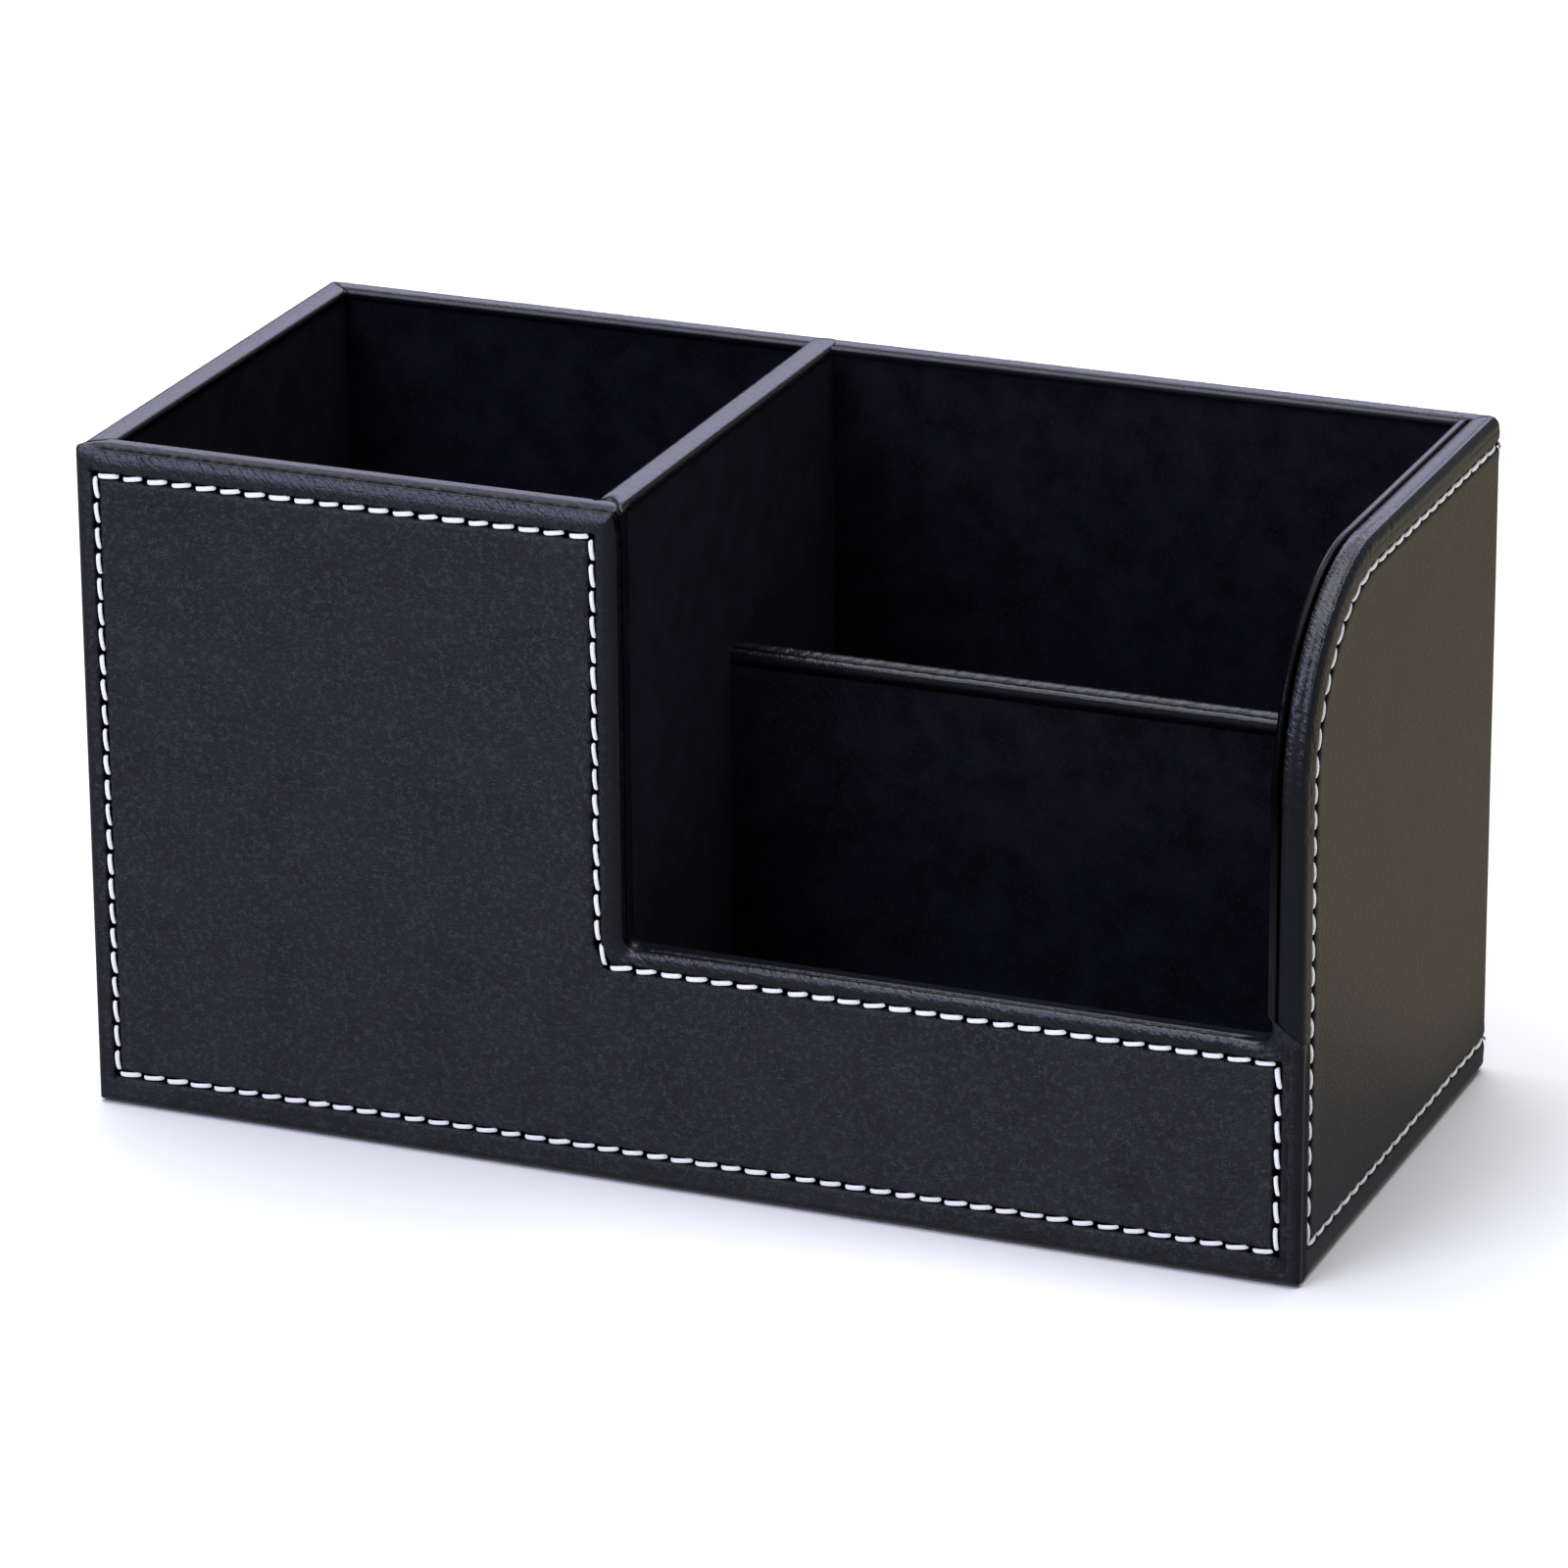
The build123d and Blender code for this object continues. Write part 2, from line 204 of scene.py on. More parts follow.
def mottle(tree, shader, pattern, span, colours, height_mm, strength):
    """Shades a finish from one colour to another over a span of a pattern, which also raises it."""
    part = add_node(tree, "ShaderNodeMapRange", {"Value": pattern, "From Min": span[0], "From Max": span[1]})
    shade = add_node(tree, "ShaderNodeMix", {0: part, 6: srgb(colours[0]), 7: srgb(colours[1])},
                     data_type="RGBA")
    relief = add_node(tree, "ShaderNodeBump", {
        "Height": pattern, "Distance": height_mm * MM, "Strength": strength})
    tree.links.new(shade.outputs[2], shader.inputs["Base Color"])
    tree.links.new(relief.outputs[0], shader.inputs["Normal"])


def make_felt():
    """Pressed non-slip felt: matted fibres, rough and dull."""
    material, tree, shader, place = new_material("pressed_black_felt", **{
        "IOR": 1.4, "Specular IOR Level": 0.1, "Roughness": 1.0, "Sheen Weight": 0.15})
    fibres = add_node(tree, "ShaderNodeTexNoise", {
        "Vector": place, "Scale": per_metre(0.9), "Detail": 5.0, "Roughness": 0.75})
    mottle(tree, shader, fibres, (0.4, 0.7), ("#101012", "#26262a"), 0.3, 0.8)
    return material


def make_fibreboard():
    """Raw medium-density fibreboard: pressed wood dust, a flat brown with darker flecks."""
    material, tree, shader, place = new_material("raw_fibreboard", Roughness=0.85)
    flecks = add_node(tree, "ShaderNodeTexNoise", {
        "Vector": place, "Scale": per_metre(0.8), "Detail": 4.0, "Roughness": 0.7})
    mottle(tree, shader, flecks, (0.35, 0.7), ("#a5835a", "#7d5c3a"), 0.08, 0.5)
    return material


def make_thread():
    """Bonded white polyester sewing thread: bright, a little glossy, with fine fibres."""
    material, tree, shader, place = new_material("bonded_white_polyester_thread", **{
        "Roughness": 0.6, "Sheen Weight": 0.2})
    fibres = add_node(tree, "ShaderNodeTexNoise", {
        "Vector": place, "Scale": per_metre(0.18), "Detail": 3.0, "Roughness": 0.6})
    mottle(tree, shader, fibres, (0.3, 0.7), ("#ffffff", "#e6e4df"), 0.03, 0.5)
    return material


leatherette = make_leatherette()
thread = make_thread()
FINISHES = {"leatherette": leatherette, "lining_cloth": make_flannelette(), "felt": make_felt(),
            "fibreboard": make_fibreboard(), "thread": thread}

# A cover's turned edge. Its rows start FACE_INSET in from the edge, where the face ends. The mesh
# carries FOLD_SHARE of the wrinkles' height, and the finish's relief the rest
FACE_INSET = 2.0
SMOOTHING = 3
ARC_STEP = 0.35
FULL_WRINKLE = 0.15
FOLD_SHARE = 0.55
ROLL_POINTS = 7
WRINKLE, PULLED, PAINTED_SHADE = 2, 3, 4


def curve_through(guide, parts):
    """A smooth curve through guide points, with each step cut in parts."""
    guide = np.array(guide, float)
    gaps = np.linalg.norm(np.diff(guide, axis=0), axis=1)
    reach = np.concatenate(([0], np.cumsum(np.sqrt(gaps) + 1e-6)))
    slope = np.empty_like(guide)
    slope[1:-1] = (guide[2:] - guide[:-2]) / (reach[2:] - reach[:-2])[:, None]
    slope[0] = (guide[1] - guide[0]) / (reach[1] - reach[0])
    slope[-1] = (guide[-1] - guide[-2]) / (reach[-1] - reach[-2])
    curve = []
    for i in range(len(guide) - 1):
        span = reach[i + 1] - reach[i]
        for t in np.arange(parts) / parts:
            curve.append((2 * t ** 3 - 3 * t ** 2 + 1) * guide[i]
                         + (t ** 3 - 2 * t ** 2 + t) * span * slope[i]
                         + (3 * t ** 2 - 2 * t ** 3) * guide[i + 1]
                         + (t ** 3 - t ** 2) * span * slope[i + 1])
    curve.append(guide[-1])
    return np.array(curve)


def crumpling(inset):
    """How much of an edge's wrinkles is left at a distance in from it."""
    return float(np.clip(1.25 - inset / 4.0, 0, 1))


def roll_points(reach, bend, roll):
    """Points (distance in, depth) round an outer roll. They end at the distance roll from the edge."""
    last = ROLL_POINTS - 1
    if reach > FACE_INSET:
        turns = np.linspace(math.asin(1 - FACE_INSET / reach), math.pi / 2, ROLL_POINTS)
    else:
        turns = np.concatenate(([0.0], np.linspace(0, math.pi / 2, last)))
    points = [(reach * (1 - math.sin(t)) + roll * (i / last) ** 2, bend * (1 - math.cos(t)))
              for i, t in enumerate(turns)]
    points[0] = (FACE_INSET, points[0][1])
    return points


def turned_edge(reach, bend, end, crease=None, sink=0.6, roll=0.0, strip=0.0, ridges=(), wrinkle=0.0,
                lip=0.5, drop=1.2, shape=None):
    """Rows across the edge of a cover, from its face round the outer roll, over the crease and the strip
    behind it, down to the lining and back under. The roll reaches in by reach and back by bend. The
    crease has a depth and a half width, and sinks in by sink. A shape gives its own points from the face
    to behind the crease. A row holds the distance in from the edge, the depth behind the face, its
    wrinkles, how far it is pulled, and the shade painted into the crease."""
    if shape:
        guide = list(shape)
    elif crease:
        at, half = crease
        guide = roll_points(reach, bend, roll) + [
            (roll + 0.2 * sink, at - half), (0.8 * sink, at - 0.4 * half), (sink, at),
            (0.55 * sink, at + 0.35 * half), (strip + 0.1, at + half), (strip, at + half + 0.45)]
    else:
        guide = roll_points(reach, bend, roll) + [
            (strip, bend + (end - lip - bend) * k / 9) for k in range(1, 7)]
    start = guide[-1][1]
    guide += [(strip, start + (end - lip - start) * k / 3) for k in (1, 2, 3)]
    guide += [(strip + 0.3 * lip, end - 0.3 * lip), (strip + lip, end)]
    rows = curve_through(guide, SMOOTHING)
    for at, height, width in ridges:
        rows[:, 0] -= height * np.exp(-((rows[:, 1] - at) / width) ** 2) * (rows[:, 0] < strip + 0.3)

    # Wrinkles are few behind the crease and none at the lip
    fold = crease[0] - crease[1] if crease else bend + 0.4
    quiet = np.clip((rows[:, 1] - fold) / 0.4, 0, 1)
    amount = np.array([wrinkle * crumpling(inset) for inset in rows[:, 0]]) * (1 - 0.75 * quiet)
    amount[rows[:, 1] > end - lip] = 0.0
    pull = np.clip(1.2 - rows[:, 0] / reach, 0, 1)
    # Painted shade: dark in the crease, with a paler line painted along its middle
    painted_darkness = np.zeros(len(rows))
    if crease:
        painted_darkness = np.exp(-((rows[:, 1] - crease[0]) / crease[1]) ** 6)
        painted_darkness *= 1 - 0.35 * np.exp(-((rows[:, 1] - crease[0] - 0.3 * crease[1]) / (0.18 * crease[1])) ** 2)

    # The cut end, and the cover's back
    under = max(end - 0.45, 0.5 * end)
    hidden = [(drop, end, 0, 1, 0), (drop, under, 0, 1, 0), (SKIN, under - 0.05, 0, 1, 0),
              (SKIN, min(SKIN, under - 0.05), 0, 1, 0), (FACE_INSET, SKIN, 0, 0, 0)]
    return np.concatenate((np.column_stack((rows, amount, pull, painted_darkness)), np.array(hidden, float)))


class Column:
    """One place on a cover's outline, and the rows that cross the edge there."""

    def __init__(self, point, normal, limit=math.inf, corner=None, mitre=None):
        self.point = np.array(point, float)
        self.normal = np.array(normal, float)
        self.limit = limit
        self.corner = corner
        self.mitre = mitre
        self.rows = None
        self.along = 0.0

    def inward(self, inset):
        """The outline's place when it is drawn in by inset. Inside a corner's round it is the mitre."""
        if inset <= self.limit:
            return self.point - inset * self.normal
        return self.corner - inset * self.mitre


def outline(corners):
    """Columns round a closed outline. A corner is (across, up, radius, rows at the corner, rows of the
    edge that leaves it, spacing, lead), and the rows change over the lead at both ends of the edge."""
    count = len(corners)
    spots = [np.array(c[:2], float) for c in corners]
    heading = []
    for i in range(count):
        step = spots[(i + 1) % count] - spots[i]
        heading.append(step / np.linalg.norm(step))
    normal = [np.array((h[1], -h[0])) for h in heading]
    arcs, mitres, turns = [], [], []
    for i, corner in enumerate(corners):
        before, after = normal[i - 1], normal[i]
        mitre = (before + after) / (1 + before @ after)
        radius = corner[2]
        turn = math.atan2(before[0] * after[1] - before[1] * after[0], before @ after)
        mitres.append(mitre)
        turns.append(turn)
        if radius == 0:
            arcs.append([Column(spots[i], mitre)])
            continue
        side = 1 if turn > 0 else -1
        centre = spots[i] - side * radius * mitre
        steps = max(3, math.ceil(abs(turn) * radius / ARC_STEP))
        columns = []
        for k in range(steps + 1):
            angle = turn * k / steps
            n = np.array((before[0] * math.cos(angle) - before[1] * math.sin(angle),
                          before[0] * math.sin(angle) + before[1] * math.cos(angle)))
            limit = radius if side > 0 else math.inf
            columns.append(Column(centre + side * radius * n, n, limit, spots[i], mitre))
        arcs.append(columns)
    result = []
    for i, corner in enumerate(corners):
        at_corner, rows, spacing, lead = corner[3:]
        for column in arcs[i]:
            column.rows = at_corner
            result.append(column)
        start, end = arcs[i][-1].point, arcs[(i + 1) % count][0].point
        length = np.linalg.norm(end - start)
        next_rows = corners[(i + 1) % count][3]
        for place in spread(length, spacing, lead):
            column = Column(start + heading[i] * place, normal[i])
            column.rows = rows
            if place < lead:
                column.rows = at_corner + (rows - at_corner) * (place / lead)
            if length - place < lead:
                column.rows = next_rows + (rows - next_rows) * ((length - place) / lead)
            for j in (i, (i + 1) % count):
                if turns[j] > 0.01:
                    limit = np.linalg.norm(column.point - spots[j]) / math.tan(turns[j] / 2)
                    if limit < column.limit:
                        column.limit, column.corner, column.mitre = limit, spots[j], mitres[j]
            result.append(column)
    travelled = 0.0
    for i, column in enumerate(result):
        if i:
            travelled += np.linalg.norm(column.point - result[i - 1].point)
        column.along = travelled
    return result


def spread(length, spacing, lead):
    """Places along an edge, closer together over the lead at its ends."""
    places = list(np.linspace(0, length, max(2, round(length / spacing)) + 1)[1:-1])
    if lead and spacing > lead / 4:
        places = [p for p in places if lead < p < length - lead]
        near = np.linspace(0, lead, 6)[1:]
        places = sorted(set(list(near) + places + list(length - near)))
    return places


def wrinkled(along, across, seed):
    """The height of fine slanting wrinkles, which is mostly between -1 and 1."""
    leaning = along - 0.8 * across
    fine = noise.noise(Vector((leaning / 0.48, across / 1.9, seed)))
    broad = noise.noise(Vector((leaning / 1.5, across / 2.5, seed + 9.0)))
    return 1.2 * fine + 0.7 * broad


def cover_mesh(name, columns, face_points, to_space, sewn, back_points=(), seed=1.0, mend=None, calm=None,
               breaks=0.0):
    """A closed cover: its face, its turned edges and its hidden back, all of one thickness. Mend moves
    single points, calm says how much of the wrinkles is left at a place, and breaks how far the shade
    painted into the crease behind the rim comes and goes."""
    points, faces = [], []
    marks = {"pulled": [], "painted_shade": [], "crumpled": []}
    rings = []
    for column in columns:
        rows = column.rows
        flat = rows[:, :2]
        step = np.gradient(flat, axis=0)
        size = np.maximum(np.linalg.norm(step, axis=1), 1e-6)
        lift = np.stack((-step[:, 1], step[:, 0]), axis=1) / size[:, None]
        run = np.concatenate(([0], np.cumsum(np.linalg.norm(np.diff(flat, axis=0), axis=1))))
        # The crease's painted shade comes and goes along the rim
        chance = noise.noise(Vector((column.along / 1.1, seed, 30.0)))
        broken = 1 - breaks * float(np.clip(0.25 - 1.75 * chance, 0, 1))
        ring = []
        for k in range(len(rows)):
            height = 0.0
            if rows[k, WRINKLE] and flat[k, 0] < column.limit:
                height = FOLD_SHARE * rows[k, WRINKLE] * wrinkled(column.along, run[k], seed)
                height *= min(1.0, 2 - 2 * max(0.0, flat[k, 0]) / column.limit)
                if calm is not None:
                    height *= calm(column.point[0], flat[k, 1])
            inset, depth = flat[k] + lift[k] * height
            if k == 0:
                inset, depth = FACE_INSET, -sewn.relief(column.inward(FACE_INSET))
            place = column.inward(inset)
            point = np.array(to_space(place, depth))
            if mend is not None:
                point = mend(point, place, depth)
            ring.append(len(points))
            points.append(point)
            marks["pulled"].append(rows[k, PULLED])
            marks["painted_shade"].append(rows[k, PAINTED_SHADE] * broken)
            marks["crumpled"].append(rows[k, WRINKLE] / FULL_WRINKLE)
        rings.append(ring)
    count = len(rings)
    for j in range(count):
        here, there = rings[j], rings[(j + 1) % count]
        for k in range(len(here) - 1):
            faces.append((here[k], here[k + 1], there[k + 1], there[k]))
    for extra, outside in ((face_points, True), (back_points, False)):
        loop = [column.inward(FACE_INSET) for column in columns]
        flat = [Vector(p) for p in loop] + [Vector(p) for p in extra]
        edges = [(i, (i + 1) % count) for i in range(count)]
        found = geometry.delaunay_2d_cdt(flat, edges, [], 1, 1e-6)
        first = len(points)
        for place in found[0]:
            level = -sewn.relief(place) if outside else SKIN
            point = np.array(to_space(np.array(place), level))
            if mend is not None:
                point = mend(point, place, level)
            points.append(point)
            marks["pulled"].append(sewn.pull(place) if outside else 0.0)
            marks["painted_shade"].append(sewn.painted_darkness(place) if outside else 0.0)
            marks["crumpled"].append(sewn.crumple(place) / FULL_WRINKLE if outside else 0.0)
        faces += [tuple(first + i for i in f) for f in found[2]]
    return mesh_object(name, points, faces, marks)


def mesh_object(name, points, faces, marks):
    """A smooth closed mesh from points in millimetres, with its doubles merged and faces outward. Marks
    are values at its points that the finish reads."""
    mesh = bpy.data.meshes.new(name)
    mesh.from_pydata([Vector(p) * MM for p in points], [], faces)
    for mark, values in marks.items():
        mesh.attributes.new(mark, "FLOAT", "POINT").data.foreach_set("value", values)
    work = bmesh.new()
    work.from_mesh(mesh)
    bmesh.ops.remove_doubles(work, verts=work.verts, dist=0.004 * MM)
    bmesh.ops.dissolve_degenerate(work, dist=0.002 * MM, edges=work.edges)
    bmesh.ops.recalc_face_normals(work, faces=work.faces)
    for face in work.faces:
        face.smooth = True
    work.to_mesh(mesh)
    work.free()
    piece = bpy.data.objects.new(name, mesh)
    bpy.context.scene.collection.objects.link(piece)
    return piece


# Thread lines
def rounded_path(corners):
    """A finely divided line through corners, each (across, up, radius)."""
    spots = [np.array(c[:2], float) for c in corners]
    line = [spots[0]]
    for i in range(1, len(spots) - 1):
        radius = corners[i][2]
        arrive, leave = spots[i] - spots[i - 1], spots[i + 1] - spots[i]
        arrive, leave = arrive / np.linalg.norm(arrive), leave / np.linalg.norm(leave)
        turn = math.atan2(arrive[0] * leave[1] - arrive[1] * leave[0], arrive @ leave)
        side = np.array((-arrive[1], arrive[0])) * (1 if turn > 0 else -1)
        centre = spots[i] - arrive * radius * math.tan(abs(turn) / 2) + side * radius
        steps = math.ceil(abs(turn) * radius / 0.8)
        for k in range(steps + 1):
            angle = turn * k / steps
            spoke = -side * radius
            line.append(centre + np.array((spoke[0] * math.cos(angle) - spoke[1] * math.sin(angle),
                                           spoke[0] * math.sin(angle) + spoke[1] * math.cos(angle))))
    line.append(spots[-1])
    return np.array(line)


def along_path(line, distances):
    """Places and headings at distances along a line."""
    steps = np.diff(line, axis=0)
    lengths = np.linalg.norm(steps, axis=1)
    reach = np.concatenate(([0], np.cumsum(lengths)))
    found = np.clip(np.searchsorted(reach, distances, side="right") - 1, 0, len(steps) - 1)
    part = (distances - reach[found]) / lengths[found]
    return line[found] + steps[found] * part[:, None], steps[found] / lengths[found][:, None]


def path_length(line):
    """The length of a line through points."""
    return float(np.linalg.norm(np.diff(line, axis=0), axis=1).sum())


def stitch_count(run):
    """A run of stitching holds whole stitches."""
    return max(1, round(path_length(run) / STITCH_PITCH))


def needle_holes(runs):
    """The holes at both ends of every stitch."""
    holes = []
    for run in runs:
        count = stitch_count(run)
        holes.append(along_path(run, np.arange(count + 1) * path_length(run) / count)[0])
    return np.concatenate(holes)


HOLE_REACH, CHANNEL_REACH = 2.5, 4.0
CHANNEL_LINES = (0.5, 0.72, 0.95, 1.4, 2.0, 2.9)


def nothing(place):
    """What a face has at a place where its rim adds nothing."""
    return 0.0


class SewnFace:
    """The relief of a cover's face: the needle holes, the channel that the thread pulls in, the slow
    unevenness of cloth glued to board, and what its rim adds. Pull and crumple say how far it is pulled
    smooth and how high its wrinkles are at a place."""

    def __init__(self, runs, seed, rim=nothing, pull=nothing, crumple=nothing):
        self.holes = needle_holes(runs)
        self.seed = seed
        self.rim = rim
        self.pull = pull
        self.crumple = crumple
        found = [along_path(run, np.linspace(0, path_length(run), round(path_length(run)) + 1))
                 for run in runs]
        self.dense = np.concatenate([f[0] for f in found])
        heading = np.concatenate([f[1] for f in found])
        self.side = np.stack((-heading[:, 1], heading[:, 0]), axis=1)

    def reach(self, marks, place, limit):
        """The distance to the nearest mark, up to a limit."""
        gap = np.abs(marks - place)
        near = (gap[:, 0] < limit) & (gap[:, 1] < limit)
        return np.linalg.norm(marks[near] - place, axis=1).min() if near.any() else limit

    def relief(self, place):
        """The height at a place: holes 0.3 deep in a channel 0.45 deep, with a low swell beside it."""
        place = np.array(place)
        hole = self.reach(self.holes, place, HOLE_REACH)
        channel = self.reach(self.dense, place, CHANNEL_REACH)
        height = -0.3 * math.exp(-(hole / 0.42) ** 2) - 0.45 * math.exp(-(channel / 0.66) ** 4)
        height += 0.07 * math.exp(-((channel - 1.7) / 0.7) ** 2)
        height += 0.04 * noise.noise(Vector((place[0] / 22, place[1] / 22, self.seed)))
        return height + self.rim(place)

    def painted_darkness(self, place):
        """The shade painted at a place round the needle holes and along the thread's channel."""
        place = np.array(place)
        hole = self.reach(self.holes, place, HOLE_REACH)
        channel = self.reach(self.dense, place, CHANNEL_REACH)
        return min(1.0, math.exp(-(hole / 0.62) ** 4) + math.exp(-(channel / 0.72) ** 6))

    def points(self):
        """Where the face needs points to show that relief."""
        rings = [self.holes]
        for radius, number in ((0.3, 6), (0.62, 8)):
            for k in range(number):
                angle = 2 * math.pi * k / number
                rings.append(self.holes + radius * np.array((math.cos(angle), math.sin(angle))))
        for off in [-line for line in reversed(CHANNEL_LINES)] + list(CHANNEL_LINES):
            rings.append(self.dense + off * self.side)
        return np.concatenate(rings)


def inside(points, loop, margin):
    """The points that lie inside a closed loop, at least a margin from its line."""
    x, y = points[:, 0], points[:, 1]
    within = np.zeros(len(points), bool)
    reach = np.full(len(points), math.inf)
    count = len(loop)
    for i in range(count):
        a, b = loop[i], loop[(i + 1) % count]
        if (a == b).all():
            continue
        crosses = (a[1] > y) != (b[1] > y)
        if a[1] != b[1]:
            within ^= crosses & (x < (b[0] - a[0]) * (y - a[1]) / (b[1] - a[1]) + a[0])
        edge = b - a
        part = np.clip(((points - a) @ edge) / (edge @ edge), 0, 1)
        reach = np.minimum(reach, np.linalg.norm(points - a - part[:, None] * edge, axis=1))
    return points[within & (reach > margin)]


def honeycomb(low, high, size):
    """Evenly spread points over a rectangle, in rows that are shifted by turns."""
    places = []
    for row, up in enumerate(np.arange(low[1], high[1], size * 0.866)):
        shift = 0.5 * size * (row % 2)
        places += [(across + shift, up) for across in np.arange(low[0], high[0], size)]
    return np.array(places)


SEWN_CLEAR = 3.3
FACE_MARGIN = 0.3
CLOSEST = 0.12


def face_grid(columns, sewn, size, extra):
    """The points inside a cover's face: even ones, close ones round the stitching, and extra ones."""
    loop = np.array([column.inward(FACE_INSET) for column in columns])
    far = []
    for place in honeycomb(loop.min(axis=0), loop.max(axis=0), size):
        near = np.abs(sewn.dense - place).max(axis=1) < SEWN_CLEAR + 0.1
        if not near.any() or np.linalg.norm(sewn.dense[near] - place, axis=1).min() > SEWN_CLEAR:
            far.append(place)
    points = inside(np.concatenate([np.array(far), sewn.points(), extra]), loop, FACE_MARGIN)
    return points[np.unique(np.round(points / CLOSEST).astype(int), axis=0, return_index=True)[1]]


# The front cover: a wrinkled outer roll, a crease behind it and a smooth strip to the lining
ROLL_REACH, ROLL_BEND = 3.4, 1.3
INNER_ROUND = 2.0
SEAM_ROUND = 2.8
FRONT_RIM_END = 5.3

# The tall rim's roll is flat and leans back into a wide crease, and the low rim's is full and stands
# up before a narrow one. Each point is the distance in and the depth
TALL_RIM_SHAPE = [
    (2.0, 0.116), (1.75, 0.18), (1.4, 0.36), (1.05, 0.55), (0.76, 0.7), (0.58, 0.84), (0.48, 1.05),
    (0.6, 1.28), (0.7, 1.42), (0.58, 1.56), (0.42, 1.72), (0.3, 2.0), (0.15, 2.6)]
LOW_RIM_SHAPE = [
    (2.0, 0.03), (1.4, 0.05), (0.85, 0.14), (0.4, 0.32), (0.12, 0.58), (-0.05, 0.88), (-0.1, 1.2),
    (-0.03, 1.55), (0.12, 1.85), (0.3, 2.1), (0.2, 2.3), (0.0, 2.55), (-0.05, 2.9)]
tall_rim = turned_edge(ROLL_REACH, ROLL_BEND, FRONT_RIM_END, crease=(1.4, 0.62), ridges=((4.4, 0.06, 0.6),),
                       wrinkle=0.8 * FULL_WRINKLE, shape=TALL_RIM_SHAPE)
low_rim = turned_edge(ROLL_REACH, ROLL_BEND, FRONT_RIM_END, crease=(2.2, 0.32), strip=0.05,
                      ridges=((3.6, 0.05, 0.5),), wrinkle=FULL_WRINKLE, shape=LOW_RIM_SHAPE)
# The low rim's crease gets a little less painted shade
low_rim[:, PAINTED_SHADE] *= 0.8
step_rim = turned_edge(ROLL_REACH, ROLL_BEND, FRONT_RIM_END, crease=(2.15, 0.6), sink=0.5, roll=0.1,
                       strip=-0.05, ridges=((4.1, 0.08, 0.7),), wrinkle=0.4 * FULL_WRINKLE)
front_return = turned_edge(1.6, 1.4, CORNER_RETURN, lip=0.15, drop=0.3)
corner_rim = turned_edge(1.6, 1.4, CORNER_RETURN, strip=0.1, lip=0.15, drop=0.3, wrinkle=0.6 * FULL_WRINKLE)
front_fold = turned_edge(1.3, 1.2, WALL, lip=0.2, drop=0.9)
lap_edge = turned_edge(0.2, 0.2, 0.45, lip=0.1, drop=0.3)
tongue_edge = turned_edge(0.8, 0.7, FRONT_RIM_END)
low_rim_end = turned_edge(1.6, 1.1, FRONT_RIM_END, wrinkle=0.3 * FULL_WRINKLE)

front_columns = outline([
    (LEFT, 0.0, 0.5, front_return, front_fold, 2.5, 5.0),
    (RIGHT, 0.0, 0.5, front_return, front_return, 1.2, 0.5),
    (RIGHT, SEAM_OUTER, 0.0, lap_edge, lap_edge, 0.4, 0.0),
    (BAY_RIGHT, SEAM_INNER, 0.0, lap_edge, tongue_edge, 0.4, 1.6),
    (BAY_RIGHT, LOW_WALL, SEAM_ROUND, low_rim_end, low_rim, 0.3, 4.0),
    (STEP, LOW_WALL, INNER_ROUND, step_rim, step_rim, 0.4, 3.0),
    (STEP, TOP, 1.2, tall_rim, tall_rim, 0.3, 3.4),
    (LEFT, TOP, 0.9, corner_rim, front_return, 1.8, 2.5),
])

# The loop of stitching follows the L, with one slanting stitch across its inner corner
THREAD_TURNS = [
    (THREAD_LEFT, THREAD_BOTTOM), (THREAD_RIGHT, THREAD_BOTTOM), (THREAD_RIGHT, THREAD_LOW_WALL),
    (THREAD_STEP + 1.7, THREAD_LOW_WALL), (THREAD_STEP, THREAD_LOW_WALL + 3.6),
    (THREAD_STEP, THREAD_TOP), (THREAD_LEFT, THREAD_TOP)]
front_runs = [np.array(ends) for ends in zip(THREAD_TURNS, THREAD_TURNS[1:] + THREAD_TURNS[:1])]
column_spots = np.array([column.point for column in front_columns])

# Where the low rim's crease leaves the rim and runs out over the face, below the seam
PULL_START, PULL_END = 88.0, 95.0


def rim_distance(place):
    """The distance in from the L-shaped rim."""
    x, z = place
    across, up = x - STEP - INNER_ROUND, z - LOW_WALL - INNER_ROUND
    if across < 0 and up < 0:
        return math.hypot(across, up) - INNER_ROUND
    across, up = x - BAY_RIGHT + SEAM_ROUND, z - LOW_WALL - SEAM_ROUND
    if across > 0 and up < 0:
        return math.hypot(across, up) - SEAM_ROUND
    if across > 0:
        return x - BAY_RIGHT
    return LOW_WALL - z if x > STEP + INNER_ROUND else min(TOP - z, STEP - x)


def roll_share(place):
    """How full the outer roll is: it runs out at the left corner and below the seam."""
    if place[1] < LOW_WALL + 3.0 and place[0] > STEP + 1.0:
        return float(np.clip((PULL_END - 1.0 - place[0]) / 4.0, 0, 1))
    return float(np.clip((place[0] - LEFT - 0.8) / 2.0, 0, 1))


def roll_crumple(place):
    """The wrinkles of the outer roll, which are few along the step's upright."""
    upright = place[1] > LOW_WALL + 1.0 and STEP - place[0] < TOP - place[1]
    return FULL_WRINKLE * (0.35 if upright else 1.0) * crumpling(rim_distance(place)) * roll_share(place)


